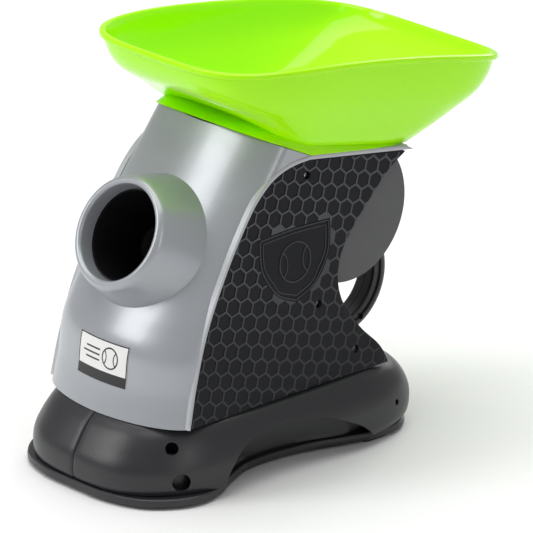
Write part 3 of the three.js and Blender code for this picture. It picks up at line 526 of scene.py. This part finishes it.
def hopper():
    """The bowl: up its outside, round its bead, down its inside, through its throat and back under."""
    angles = circle(176)
    wall = smooth(BOWL_WALL, 24)
    floor = deck_line(RIM["y"]) + BOWL_FLOOR
    thick = BEAD + WALL

    def bowl_ring(out, up, inset, drop, least=0.0):
        """A ring a share of the way out and up the wall, set in, dropped, its foot no lower than least."""
        ring = []
        for angle in angles:
            x0, y0, low = foot_point(angle, inset)
            front, rear = RIM["y"] - RIM["length"] + inset, RIM["y"] + RIM["length"] - inset
            x1, y1 = rounded(angle, RIM["half"] - inset, front, rear, RIM["fore"], RIM["aft"])
            low = max(low, least)
            z = low + (rim_height(y1) - low) * up - drop
            ring.append((x0 + (x1 - x0) * out, y0 + (y1 - y0) * out, z))
        return ring

    def collar_ring(inset, lift):
        ring = []
        for angle in angles:
            front, rear = COLLAR["front"] + inset, COLLAR["rear"] - inset
            x, y = rounded(angle, COLLAR["half"] - inset, front, rear, COLLAR["fore"], COLLAR["aft"])
            ring.append((x, y, deck_line(y) + lift))
        return ring

    def between(first, last, share, swell=0.0):
        ring = []
        for (x0, y0, z0), (x1, y1, z1), t in zip(first, last, angles):
            x = x0 + (x1 - x0) * share + swell * math.cos(t)
            y = y0 + (y1 - y0) * share + swell * math.sin(t)
            ring.append((x, y, z0 + (z1 - z0) * share))
        return ring

    def throat_ring(radius, drop=0.0, height=None):
        """A ring about the throat, on the bowl's sloping floor or at a height."""
        ring = []
        for angle in angles:
            x, y = radius * math.cos(angle), DRUM["y"] + radius * math.sin(angle)
            slope = FLOOR_SLOPE["front" if y < RIM["y"] else "rear"]
            z = floor + WALL + slope * abs(y - RIM["y"]) + FLOOR_SLOPE["side"] * abs(x) - drop
            ring.append((x, y, z if height is None else height))
        return ring

    low, high = collar_ring(0, 0.5), bowl_ring(0, 0, BEAD, 0)
    rings = [low] + [between(low, high, share, 0.25) for share in (0.08, 0.35, 0.65, 0.93)] + [high]
    rings += [bowl_ring(out, up, BEAD, 0.0) for out, up in wall[1:-1]]
    bead = [(BEAD, 5.2), (1.2, 4.7), (0.3, 4.2), (0.0, 3.2), (0.0, 1.6), (0.4, 0.6), (1.3, 0.05), (2.6, 0.0)]
    bead += [(thick - 0.5, 0.25), (thick, 1.2)]
    rings += [bowl_ring(1, 1, inset, drop) for inset, drop in bead]
    rings += [bowl_ring(out, up, thick, -WALL * (1 - 0.9 * up), floor + FUNNEL) for out, up in wall[::-1][1:]]
    bore, outer, bottom = THROAT["bore"], THROAT["outer"], THROAT["bottom"]
    lip = throat_ring(bore + 6)
    rings += [between(rings[-1], lip, share) for share in (0.25, 0.5, 0.75)] + [lip]
    rings += [throat_ring(bore + 2, 0.5), throat_ring(bore, 2.0), throat_ring(bore, height=bottom)]
    rings += [throat_ring(outer, height=bottom), throat_ring(outer, thick)]
    rings += [bowl_ring(0, 0, thick, WALL, floor), collar_ring(WALL, 0.5)]
    verts, faces = loft(rings, looped=True)
    return piece("hopper_bowl", verts, faces, "ball_hopper", "lime_plastic", LIME, 32, ["hopper"])


# ---- the silver shell ----
panel_front = smooth(PANEL_FRONT, 90)
panel_rear = smooth(PANEL_REAR, 90)


def side_edge(z):
    """The shell's rear edge on the body's side: just in front of the panel."""
    return float(np.interp(z, panel_front[:, 1], panel_front[:, 0])) - 0.6


def body_arc(z, inset=0.0):
    """The rounded front of the body's section at a height, from the left corner to the right one."""
    half, corner = body_half(z) - inset, body_front(z) + BODY["corner"]
    turn = np.linspace(0, math.pi, 241)
    x = half * np.array([power(math.cos(t), 2 / BODY["round"]) for t in turn])
    y = corner - (BODY["corner"] - inset) * np.array([power(math.sin(t), 2 / BODY["round"]) for t in turn])
    return np.stack([x, y], axis=1)


def shell_row(z, front_count=110, side_count=20):
    """The section at a height, from the left edge round the front to the right edge."""
    half, corner = body_half(z), body_front(z) + BODY["corner"]
    edge = side_edge(z) if z < PANEL_TOP else DECK["knee"]
    arc = body_arc(z)
    front = resample(arc[arc[:, 1] <= max(edge, corner - BODY["corner"] + 1)], front_count)
    first_x, first_y = front[0]
    side_x = half if edge > corner else first_x
    left = [(side_x, y, z) for y in np.linspace(max(edge, first_y), first_y, side_count)[:-1]]
    right = [(-x, y, z) for x, y, z in left[::-1]]
    return left + [(x, y, z) for x, y in front] + right


def front_shell():
    low = np.linspace(SHELL["bottom"], SHELL["knee"], 84)
    high = np.linspace(SHELL["knee"] + 1, SHELL["top"], 26)
    verts, faces = loft([shell_row(z) for z in np.concatenate([low, high])], closed=False)
    shell = piece("front_shell_skin", verts, faces, "housing", "silver_plastic", SILVER, 40, ["front_shell"])
    solidified(shell, SHELL["wall"])
    cut(shell, *extruded(above_deck(), -WIDE, WIDE))
    cut(shell, *rod(ALONG, SHELL["bore"], MOUTH - ALONG * 90, 140, 96))
    return dress(shell, "housing", SILVER, 30)


def snout():
    """The cone round the bore, with a rounded rim and a shallow step inside it."""
    # As (distance back from the muzzle, radius).
    profile = [(46, 55.4), (30, 50.6), (14, 45.9), (4.6, 43.0), (3.0, 42.3), (1.3, 41.2), (0.35, 39.9)]
    profile += [(0.0, 38.6), (0.2, 37.3), (0.9, 36.4), (1.9, 35.9), (3.2, 35.6), (12.6, 35.0), (13.0, 36.8)]
    profile += [(46, 37.6)]
    dense = []
    for (b0, r0), (b1, r1) in zip(profile, profile[1:]):
        steps = max(1, round(abs(b1 - b0) / 4))
        dense += [(b0 + (b1 - b0) * k / steps, r0 + (r1 - r0) * k / steps) for k in range(steps)]
    dense.append(profile[-1])
    turns = circle(144)
    verts, faces = loft([[barrel_point(b, t, r) for t in turns] for b, r in dense], looped=True)
    return piece("snout_cone", verts, faces, "housing", "silver_plastic", SILVER, 40)


def front_trim(side):
    """The narrow frame along the panel's front and top edges, widening towards the top."""
    top = [(y, PANEL_TOP + DECK["rear"] * (y - PANEL_KNEE)) for y in (5, 30, 60, 91.5)]
    path = resample(np.vstack([panel_front, top]), 150)
    taper, taper_length = 80, 12
    rings = []
    for (y, z), (ny, nz) in zip(path, normals(path, closed=False)):
        width = float(np.interp(z, [60, 150, 205, 228], [2.8, 2.4, 2.8, 3.4])) if y < PANEL_KNEE else 3.6
        if y > taper:
            width *= max(1 - ((y - taper) / taper_length) ** 2, 0.1)
        section = [(0.15, -4.5), (0.15, 0.15), (0.45, 0.45)]
        section += [(width - 0.5, 0.5), (width - 0.1, 0.2), (width, -4.5)]
        ring = []
        for across, out in section:
            py, pz = y + ny * across, z + nz * across
            ring.append((body_half(pz) + out, py, pz))
        rings.append(ring)
    made = sided(capped(rings), side)
    return piece("front_trim_" + SIDES[side], *made, "housing", "trim_silver", TRIM, 50)


# ---- the honeycomb panels ----
def panel_outline(inset):
    front = [(y + inset, min(z, PANEL_TOP - inset)) for y, z in panel_front]
    rear = [(y - 0.3 * inset, z) for y, z in panel_rear]
    return resample(np.array(front + rear + front[:1]), 260, closed=True)


def emblem_point(across, up):
    """A point in the emblem's own frame, across to the rear and up, as y and z."""
    return EMBLEM["y"] + across, EMBLEM["z"] + up


def shield(grow):
    """The outline of a plain shield with a bowed foot, grown all round by a distance."""
    half, top = 31.0 + grow, 21 + grow
    flank = [(half, top), (half + 0.2, 12), (half - 1.6, 0), (half - 9, -11.5 - grow * 0.6)]
    right = smooth(flank + [(16, -19.5 - grow), (0, -26 - 1.2 * grow)], 40)
    left = [(-x, y) for x, y in right[::-1]][1:]
    crown = smooth([(-half, top), (0, top + 1.4), (half, top)], 16)[1:-1]
    return np.array(list(right) + left + [tuple(p) for p in crown])


def emblem_shield(grow):
    return [emblem_point(across, up) for across, up in shield(grow)]


def inside(y, z, outline):
    """Whether a point lies in an outline."""
    hit = False
    for (y0, z0), (y1, z1) in zip(outline, np.roll(outline, -1, axis=0)):
        if (z0 > z) != (z1 > z) and y < (y1 - y0) * (z - z0) / (z1 - z0) + y0:
            hit = not hit
    return hit


def hex_cells():
    """Centres of the honeycomb's cells, each with its pocket's depth."""
    outline = panel_outline(0)
    clear = np.array(emblem_shield(3.0))
    c, s = math.cos(HEX["turn"]), math.sin(HEX["turn"])
    reach = [(0.5 * HEX["pitch"] * math.cos(t), 0.5 * HEX["pitch"] * math.sin(t)) for t in circle(6)]
    cells = []
    for row in range(-3, 18):
        for column in range(-16, 14):
            across = (column + 0.5 * (row % 2)) * HEX["pitch"]
            down = row * HEX["pitch"] * math.sqrt(3) / 2
            y = HEX["y"] + across * c + down * s
            z = HEX["z"] + across * s - down * c
            if inside(y, z, clear) or not any(inside(y + dy, z + dz, outline) for dy, dz in reach):
                continue
            if min(math.hypot(y - py, z - pz) for py, pz in PANEL_SCREWS) < 4.5:
                continue
            fade = np.clip(1.15 - 0.0062 * (y + 60) - 0.0052 * (205 - z), 0.22, 1.0)
            cells.append((y, z, HEX["depth"] * float(fade)))
    return cells


def hex_cutter(face):
    """One mesh of prisms, a cell each, that stand in the leaning face this far from the middle plane."""
    verts, faces = [], []
    radius = (HEX["pitch"] - HEX["line"]) / math.sqrt(3)
    for y, z, depth in hex_cells():
        first = len(verts)
        for x, shrink in ((face - depth, 0.94), (face + 2, 1.12)):
            for k in range(6):
                t = math.pi / 2 + HEX["turn"] + k * math.pi / 3
                py, pz = y + radius * shrink * math.cos(t), z + radius * shrink * math.sin(t)
                verts.append((leaned(x, pz), py, pz))
        faces.append(tuple(range(first, first + 6))[::-1])
        faces.append(tuple(range(first + 6, first + 12)))
        for k in range(6):
            n = (k + 1) % 6
            faces.append((first + k, first + n, first + 6 + n, first + 6 + k))
    return verts, faces


def side_panel(side):
    """A panel with its pockets and the emblem's recess, the deep faces in a material of their own."""
    face = PANEL_FACE
    plate = raw(*extruded(panel_outline(GAP), face - 3, face, lean=True))
    bevelled(plate, 0.5, 2, 60)
    cut(plate, *hex_cutter(face))
    cut(plate, *extruded(emblem_shield(4.0), face - HEX["depth"], face + 3, lean=True))
    for y, z in PANEL_SCREWS:
        cut(plate, *rod((1, 0, 0), 3.1, (40, y, z), 60, 20))
    made = bpy.data.objects.new("side_panel_skin_" + SIDES[side], plate.data)
    bpy.context.scene.collection.objects.link(made)
    bpy.data.objects.remove(plate)
    if side < 0:
        made.data.transform(MIRROR)
    dress(made, "housing", [PANEL_LINE, PANEL_CELL], 25, ["side_panel_" + SIDES[side]])
    for polygon in made.data.polygons:
        x, _, z = polygon.center / MM
        polygon.material_index = 1 if leaned(face, z) - abs(x) > 0.04 else 0
    made.data.update()
    return made


def ribbon_on_panel(points, width, height, closed, face):
    """A raised line on the left panel's face, through points in y and z."""
    path = np.array(points, float)
    rings = []
    for (y, z), (ny, nz) in zip(path, normals(path, closed)):
        ring = []
        for across, out in ((-0.5, -0.3), (-0.3, 1.0), (0.3, 1.0), (0.5, -0.3)):
            py, pz = y + ny * across * width, z + nz * across * width
            ring.append((leaned(face, pz) + out * height, py, pz))
        rings.append(ring)
    return loft(rings, looped=closed, start_cap=not closed, end_cap=not closed)


def joined(*parts):
    """Several bodies as one list of vertices and faces."""
    verts, faces = [], []
    for part_verts, part_faces in parts:
        first = len(verts)
        verts += list(part_verts)
        faces += [tuple(i + first for i in f) for f in part_faces]
    return verts, faces


def emblem(side):
    """A generic badge: a plain shield round a ball with its two seams."""
    face = PANEL_FACE - HEX["depth"]
    radius, bend = EMBLEM["ball"], 13.5
    ball = [emblem_point(radius * math.cos(t), radius * math.sin(t)) for t in circle(48)]
    lines = [ribbon_on_panel(emblem_shield(2.6), 1.1, 0.7, True, face)]
    lines += [ribbon_on_panel(emblem_shield(-0.4), 0.9, 0.5, True, face)]
    lines += [ribbon_on_panel(ball, 1.1, 0.7, True, face)]
    for way in (1, -1):
        arc = np.linspace(-0.8, 0.8, 17)
        seam = [emblem_point(way * (21 - bend * math.cos(t)), bend * math.sin(t)) for t in arc]
        lines += [ribbon_on_panel(seam, 1.0, 0.6, False, face)]
    made = sided(joined(*lines), side)
    return piece("panel_emblem_" + SIDES[side], *made, "housing", "black_plastic", PANEL_BLACK, 40)


def screw(name, centre, axis, radius, node):
    """A pan-head screw with a crossed slot."""
    axis = Vector(axis).normalized()
    profile = [(0.0, 0.97), (0.5, 1.0), (1.0, 0.86), (1.35, 0.55), (1.5, 0.2)]
    turns = circle(28)
    rings = [[(radius * r * math.cos(t), radius * r * math.sin(t), h) for t in turns] for h, r in profile]
    head = raw(*capped(rings))
    for long, wide in ((radius * 0.62, radius * 0.13), (radius * 0.13, radius * 0.62)):
        cut(head, *block((-long, long), (-wide, wide), (0.6, 3.0)))
    turn = axis.to_track_quat("Z", "Y").to_matrix().to_4x4()
    head.data.transform(Matrix.Translation(Vector(centre) * MM) @ turn)
    head.name = name
    return dress(head, "housing", STEEL, 30, [node])


# ---- the drum, its caps and the rear cover ----
def drum():
    """The drum's wall, round the part of a circle that shows behind the panels."""
    half, outer, inner = DRUM["shell_half"], DRUM["outer"], DRUM["inner"]
    profile = [(-half, inner), (-half, outer - 0.4), (0.6 - half, outer)]
    profile += [(-x, radius) for x, radius in profile[::-1]]
    rings = about_drum(profile, np.radians(np.linspace(-128, 79, 97)))
    shell = raw(*capped([list(section) for section in zip(*rings)]))
    cut(shell, *extruded(above_deck(DRUM["roof_gap"]), -WIDE, WIDE))
    shell.name = "drum_skin"
    return dress(shell, "housing", GRAPHITE, 30, ["drum_shell"])


def drum_cap(side):
    profile = [(61.0, 20), (60.9, 53.6), (61.3, 54.5), (62.0, 54.9), (63.2, 54.9), (64.0, 54.4), (64.3, 53.4)]
    profile += [(64.2, 20), (64.1, 0.6)]
    cap = raw(*sided(capped(about_drum(profile, circle(128))), side))
    cut(cap, *extruded(above_deck(DRUM["roof_gap"]), -WIDE, WIDE))
    cap.name = "drum_cap_skin_" + SIDES[side]
    return dress(cap, "housing", GRAPHITE, 30, ["drum_cap_" + SIDES[side]])


def rear_cover():
    """The waist behind the drum, between the panels."""
    outer = smooth([(16.5, 127), (17, 117), (25, 103), (37, 88), (55, 70), (62, 59)], 40)
    inner = [(y - 2.2, z - 2) for y, z in outer[::-1]]
    made = raw(*extruded(list(outer) + inner, -66, 66))
    bevelled(made, 0.6, 2, 50)
    made.name = "rear_cover_skin"
    return dress(made, "housing", BASE, 35, ["rear_cover"])


def deck():
    """The plate under the hopper, whose edge shows as a light line."""
    outline = [(-44, deck_line(-44)), (DECK["knee"], DECK["knee_z"]), (88, deck_line(88))]
    outline += [(y, z - DECK["thick"]) for y, z in outline[::-1]]
    plate = raw(*extruded(outline, -67.6, 67.6))
    inner = [[(x, y, z) for x, y in resample(body_arc(z, 1.0), 90)] for z in (205, 220, 235, 250, 265)]
    inner = [row + [(row[-1][0], 120, row[0][2]), (row[0][0], 120, row[0][2])] for row in inner]
    cut(plate, *capped(inner), operation="INTERSECT")
    cut(plate, *rod((0, 0, 1), THROAT["hole"], (0, DRUM["y"], 190), 80, 64))
    bevelled(plate, 0.5, 2, 60)
    plate.name = "deck_plate"
    return dress(plate, "housing", TRIM, 35, ["top_deck"])


def handle(side):
    """Half of the carry ring: a rounded bar with a stepped outer flank."""
    name = SIDES[side]
    outer, inner = HANDLE["outer"], HANDLE["inner"]
    section = [(0.25, inner), (0.25, outer - 0.6), (0.9, outer), (7.4, outer), (9.6, outer - 0.9)]
    section += [(10.8, outer - 3.0), (11.0, outer - 5.2), (10.6, outer - 6.2), (9.0, outer - 6.5)]
    section += [(8.9, inner + 2.2), (8.4, inner + 0.7), (7.0, inner), (0.9, inner)]
    dense = resample(np.array(section + section[:1]), 64, closed=True)
    steps, start, sweep = 72, -1.62, 3.37
    rings = []
    for i in range(steps + 1):
        t = start + sweep * i / steps
        rings.append([(x, HANDLE["y"] + r * math.cos(t), HANDLE["z"] + r * math.sin(t)) for x, r in dense])
    made = raw(*sided(capped(rings), side))
    cut(made, *rod((1, 0, 0), DRUM["outer"] + GAP, (-40, DRUM["y"], DRUM["z"]), 80, 96))
    cut(made, *extruded([(0, 0), (160, 0), (160, 55.4), (0, 55.4)], -40, 40))
    cut(made, *rod((1, 0, 0), 2.3, (8 if side > 0 else -20, 96.0, 64.5), 12, 20))
    made.name = "handle_skin_" + name
    return dress(made, "housing", BASE, 35, ["handle_half_" + name])


# ---- the base ----
def skirt(side):
    """Half of the base's wall, with the groove along its front and rear seams, an arch and vent holes."""
    name = SIDES[side]
    sections = [tuple(p) for p in smooth(SKIRT_RINGS, 26)]
    sections += [(54.4, 77.5, -160.2, 82.0), (55.0, 76, -159, 80), (55.1, 74, -157.2, 77.5)]
    sections += [(54.9, 69, -151, 66), (54.4, 66, -148, 58)]
    widest = max(row[1] for row in SKIRT_RINGS)
    quarter = math.pi / 2
    angles = list(np.linspace(-quarter, quarter, 131))
    for x in (0.9, 1.7, 2.6):  # more columns beside the two seams
        by_front, by_rear = [math.asin((x / widest) ** (square / 2)) for square in SKIRT_SQUARE]
        angles += [by_front - quarter, quarter - by_rear]
    angles.sort()
    rings = []
    for z, half, front, rear in sections:
        ring = []
        for angle in angles:
            x, y = rounded(angle, half, front, rear, *SKIRT_SQUARE)
            dip = SEAM["depth"] * max(1 - x / SEAM["reach"], 0.0) ** 2
            ring.append((max(x, SEAM["half"]), y - math.copysign(dip, math.sin(angle)), z))
        rings.append(ring)
    made = raw(*loft(rings, closed=False))
    solidified(made, 2.8)
    cut(made, *extruded([tuple(p) for p in smooth(SKIRT_ARCH, 60)], -10, 140))
    cut(made, *rod((1, -1, 0.05), 6.6, (54, -121, 17.5), 70, 36))  # the round vent at the front corner
    cut(made, *rod((1, -1, 0.8), 4.8, (57, -134, 34), 70, 28))  # the oval vent over it
    cut(made, *rod((1, 0, 0), 2.3, (70, 62, 27), 40, 20))
    if side < 0:
        made.data.transform(MIRROR)
    else:
        cut(made, *rod((0, 1, 0), 5.9, (34, 60, 27), 50, 32))  # for the supply's inlet
    made.name = "skirt_skin_" + name
    return dress(made, "housing", BASE, 40, ["skirt_" + name])


def pan():
    """The base's floor, its lip past the skirt and its wall inside it."""
    right = [tuple(p) for p in smooth(PAN_EDGE, 150)]
    outline = right + [(-x, y) for x, y in right[1:-1]][::-1]
    middle = (PAN["front"] + PAN["rear"]) / 2

    def ring(inset, z, wall=None):
        """The lip's outline, set in. With wall it also stays inside the skirt by that distance."""
        made = []
        for x, y in outline:
            px = math.copysign(max(abs(x) - inset, 0), x)
            py = y - (y + 45) / 130 * inset
            if wall is not None:
                px = max(min(px, PAN_WALL["widest"] - wall), wall - PAN_WALL["widest"])
                py = min(max(py, PAN_WALL["front"] + wall), PAN_WALL["rear"] - wall)
                half, reach = PAN["half"] - wall, (PAN["rear"] - PAN["front"]) / 2 - wall
                square = SKIRT_SQUARE[0 if py < middle else 1]
                size = (abs(px / half) ** square + abs((py - middle) / reach) ** square) ** (1 / square)
                shrink = min(1.0, 1.0 / size)
                px, py = px * shrink, middle + (py - middle) * shrink
            made.append((px, py, z))
        return made

    thick, set_in, top = PAN["wall"], PAN["set_in"], PAN["wall_top"]
    lip = [(3.0, 2.0), (0.8, 2.1), (0.1, 2.9), (0.0, 5.6), (0.3, 7.6), (1.0, 8.3), (1.8, 8.4), (5.6, 8.5)]
    rings = [ring(inset, z) for inset, z in lip]
    rings += [ring(6.3, 9.3, 0.0), ring(set_in, 12, 0.0), ring(set_in, top, 0.0)]
    rings += [ring(set_in + thick, top, thick), ring(set_in + thick, 5, thick)]
    made = raw(*capped(rings))
    cut(made, *block((-55, 55), (-152, -68), (0, 12)))
    made.name = "pan_skin"
    return dress(made, "housing", BASE, 35, ["bottom_pan"])


def door():
    """The battery door, with finger grooves in its underside."""
    corners = soft_rectangle(54.5, -151.5, -68.5, 3.5, 64)
    made = raw(*capped([[(x, y, z) for x, y in corners] for z in (2.0, 4.4)]))
    for k in range(7):
        y = -80 - 3 * k
        cut(made, *block((-14, 14), (y, y + 1.2), (1, 2.6)))
    bevelled(made, 0.3, 2, 50)
    made.name = "battery_door_skin"
    return dress(made, "door", BASE, 35, ["battery_door"])


def foot_pad(end, x, y, side):
    """A rubber foot with grooves across its sole."""
    x *= side
    corners = soft_rectangle(9, -13, 13, 2, 48)
    levels = ((1.8, 0.98), (0.5, 1.0), (0.0, 0.95))
    made = raw(*capped([[(x + u * size, y + v * size, z) for u, v in corners] for z, size in levels]))
    for k in range(-3, 4):
        middle = y + 3.2 * k
        cut(made, *block((x - 12, x + 12), (middle - 0.5, middle + 0.5), (-1, 0.5)))
    name = end + "_" + SIDES[side]
    made.name = "foot_pad_" + name
    return dress(made, "housing", RUBBER, 35, ["foot_" + name])


# ---- the label ----
def patch(name, x0, x1, z0, z1, out, thick, material, slot, replaces=(), columns=40, rows=16):
    """A thin sheet that follows the body's front."""
    grids = []
    for lift in (out, out + thick):
        grid = []
        for z in np.linspace(z0, z1, rows):
            grid.append([skin(x, z, lift) for x in np.linspace(x0, x1, columns)])
        grids.append(grid)
    low, high = grids
    border = [(0, c) for c in range(columns)] + [(r, columns - 1) for r in range(1, rows)]
    border += [(rows - 1, c) for c in range(columns - 2, -1, -1)] + [(r, 0) for r in range(rows - 2, 0, -1)]
    verts, faces = loft(high, closed=False)
    first = len(verts)
    verts += [low[r][c] for r, c in border]
    for i, (r, c) in enumerate(border):
        j = (i + 1) % len(border)
        r1, c1 = border[j]
        faces.append((r * columns + c, r1 * columns + c1, first + j, first + i))
    return piece(name, verts, faces, "housing", slot, material, 40, replaces)


def label():
    """The sheet, its dark band and a thin border."""
    half, low, high = LABEL["half"], LABEL["low"], LABEL["high"]
    patch("label_sheet", -half, half, low, high, 0.1, 0.45, WHITE, "label_white", ["front_label"])
    patch("label_band", 0.6 - half, half - 0.6, low + 0.6, low + 7.8, *PRINT, INK, "label_white")
    borders = [(-half, half, high - 0.9, high), (-half, 0.9 - half, low, high)]
    borders += [(half - 0.9, half, low, high), (-half, half, low, low + 0.8)]
    for k, (x0, x1, z0, z1) in enumerate(borders):
        columns = 40 if x1 - x0 > half else 3
        patch("label_border_%d" % (k + 1), x0, x1, z0, z1, *PRINT, INK, "label_white", columns=columns)


def inked(name, points, width, closed):
    """A thin printed line over the label, through points in x and z."""
    path = np.array(points, float)
    low, high = PRINT[0], sum(PRINT)
    section = ((-1, low), (-1, high), (1, high), (1, low))
    rings = []
    for (x, z), (ax, az) in zip(path, normals(path, closed) * width / 2):
        rings.append([skin(x + k * ax, z + k * az, out) for k, out in section])
    verts, faces = loft(rings, looped=closed, start_cap=not closed, end_cap=not closed)
    return piece(name, verts, faces, "housing", "label_white", INK, 40)


def label_icon():
    """A plain ball with two seams and three lines of flight behind it."""
    x0, z0, radius, bend = 9.0, 96.5, 7.6, 7.4
    ball = [(x0 + radius * math.cos(t), z0 + radius * math.sin(t)) for t in circle(48)]
    inked("label_ball", ball, 1.1, True)
    arc = np.linspace(-0.78, 0.78, 15)
    for way, word in SIDES.items():
        seam = [(x0 + way * (11.0 - bend * math.cos(t)), z0 + bend * math.sin(t)) for t in arc]
        inked("label_seam_" + word, seam, 0.9, False)
    for k, (start, z) in enumerate(((-17, z0 + 4), (-20, z0), (-17, z0 - 4))):
        flight = [(x, z) for x in np.linspace(start, x0 - radius - 3, 9)]
        inked("label_flight_%d" % (k + 1), flight, 1.2, False)


# ---- the controls on the drum's back ----
def controls():
    """The plate on the drum's back, two buttons, three lights, and the supply's inlet in the base."""
    outline = soft_rectangle(30, 164, 204, 4, 72)
    plate = raw(*capped([[(x, y, z) for x, z in outline] for y in (76, 92.6)]))
    cut(plate, *rod((1, 0, 0), DRUM["outer"] + GAP, (-80, DRUM["y"], DRUM["z"]), 160, 96))
    button_z, led_z = 190, 173
    for x in BUTTONS:
        cut(plate, *rod((0, 1, 0), 6.9, (x, 60, button_z), 60, 40))
    for x in LEDS:
        cut(plate, *rod((0, 1, 0), 2.4, (x, 60, led_z), 60, 24))
    bevelled(plate, 0.6, 2, 50)
    plate.name = "control_plate"
    dress(plate, "housing", BASE, 35, ["control_panel"])
    cap = [(0, 6.3), (3.0, 6.4), (3.6, 6.1), (3.9, 5.4), (3.7, 4.2), (3.55, 0.4)]
    power = (BUTTONS[0], "power", "lime_plastic", LIME)
    reach = (BUTTONS[1], "range", "trim_silver", TRIM)
    for x, word, slot, material in (power, reach):
        node = word + "_button"
        dome(node + "_cap", x, button_z, 91.0, cap, word + "_key", slot, material, node)
    lens = [(0, 2.1), (2.3, 2.1), (2.8, 1.6), (3.0, 0.8), (3.05, 0.2)]
    for k, x in enumerate(LEDS):
        ending = str(k + 1)
        node = "range_led_" + ending
        dome("range_lens_" + ending, x, led_z, 90.2, lens, "housing", "led_green", LENS, node)
    socket = [(0, 5.5), (12.8, 5.5), (13.6, 5.2), (13.9, 4.6), (13.6, 3.4), (13.2, 3.0), (4.0, 3.0)]
    socket += [(4.0, 1.0), (11.6, 1.0), (12.0, 0.5)]
    dome("inlet_socket", 34, 27, 76.4, socket, "housing", "black_plastic", TUBE, "dc_inlet")


def dome(name, x, z, start, profile, body, slot, material, node):
    """A turned piece about an axis along Y, from (distance back, radius) points."""
    turns = circle(48)
    rings = [[(x + r * math.cos(t), start + back, z + r * math.sin(t)) for t in turns] for back, r in profile]
    return piece(name, *capped(rings), body, slot, material, 35, [node])


# ---- the CAD nodes that stay ----
KEPT = {
    "chassis_plate_left": PANEL_BLACK, "chassis_plate_right": PANEL_BLACK, "battery_holder": PANEL_BLACK,
    "wheel_hub_left": GRAPHITE, "wheel_hub_right": GRAPHITE, "ball_rotor": GRAPHITE, "ball_pusher": GRAPHITE,
    "wheel_tyre_left": RUBBER, "wheel_tyre_right": RUBBER, "speaker": RUBBER, "launch_tube": TUBE,
    "wheel_motor_left": STEEL, "wheel_motor_right": STEEL, "feed_motor": STEEL, "pusher_solenoid": STEEL,
    "chassis_bridge": STEEL, "rotor_gear": TRIM, "motor_pinion": BRASS, "circuit_board": BOARD,
    "ball_sensor": BOARD,
}


def repaint():
    """The kept nodes' materials, the battery's cells among them."""
    for name, node in NODES.items():
        cell = name.startswith(("battery_left_", "battery_right_"))
        material = CELLS if cell else KEPT.get(name)
        if material:
            for spot in node.material_slots:
                spot.material = material


# ---- the camera, the floor and the lights ----
def camera():
    """The photograph's viewpoint, far off with a long lens."""
    azimuth, elevation = math.radians(47.217), math.radians(20.674)
    made = bpy.data.objects.new("camera", bpy.data.cameras.new("camera"))
    bpy.context.scene.collection.objects.link(made)
    bpy.context.scene.camera = made
    level = math.cos(elevation)
    back = Vector((math.sin(azimuth) * level, -math.cos(azimuth) * level, math.sin(elevation)))
    made.location = (2.9210, -2.6931, 1.6252)
    made.rotation_mode = "QUATERNION"
    made.rotation_quaternion = (-back).to_track_quat("-Z", "Y")
    made.data.lens = 391.05
    made.data.sensor_width = 36.0
    made.data.clip_start, made.data.clip_end = 0.1, 60.0


def area_light(name, where, towards, size, watts):
    light = bpy.data.lights.new(name, "AREA")
    light.shape = "RECTANGLE"
    light.size, light.size_y = size
    light.energy = watts
    made = bpy.data.objects.new(name, light)
    bpy.context.scene.collection.objects.link(made)
    made.location = where
    made.rotation_mode = "QUATERNION"
    made.rotation_quaternion = (Vector(towards) - Vector(where)).to_track_quat("-Z", "Y")


def studio():
    """A pale floor, an even surround and four soft lights."""
    far = 6000
    floor = raw([(-far, -far, 0), (far, -far, 0), (far, far, 0), (-far, far, 0)], [(0, 1, 2, 3)])
    floor.name = "floor"
    pale = moulded("floor_white", (0.93, 0.93, 0.93), (0.5, 0.6), (40.0, 0.01), cloud=0.005, edge_highlight=1.0)
    floor.data.materials.append(pale)
    world = bpy.data.worlds.new("studio")
    bpy.context.scene.world = world
    world.use_nodes = True
    surround = world.node_tree.nodes["Background"]
    surround.inputs["Color"].default_value = (1, 1, 1, 1)
    surround.inputs["Strength"].default_value = 0.42
    centre = (0, 0, 0.15)
    area_light("key", (-1.1, -1.9, 1.5), centre, (0.9, 1.4), 22)
    area_light("side", (2.2, -0.4, 1.0), centre, (0.4, 1.4), 4)
    area_light("top", (-0.2, 0.1, 2.4), centre, (2.4, 2.4), 46)
    area_light("rear", (-0.6, 1.9, 1.0), centre, (1.0, 1.0), 9)
    bpy.context.scene.view_settings.view_transform = "Standard"


camera()
hopper()
front_shell()
snout()
drum()
deck()
rear_cover()
pan()
door()
label()
label_icon()
controls()
for way in (1, -1):
    side_panel(way)
    emblem(way)
    front_trim(way)
    drum_cap(way)
    handle(way)
    skirt(way)
    for index, (sy, sz) in enumerate(PANEL_SCREWS):
        ending = "%s_%d" % (SIDES[way], index + 1)
        seat = (way * leaned(BODY["half"] - 4.4, sz), sy, sz)
        screw("panel_screw_head_" + ending, seat, (way, 0, 0), 2.6, "panel_screw_" + ending)
    for part_end, fx, fy in FEET:
        foot_pad(part_end, fx, fy, way)
repaint()
studio()
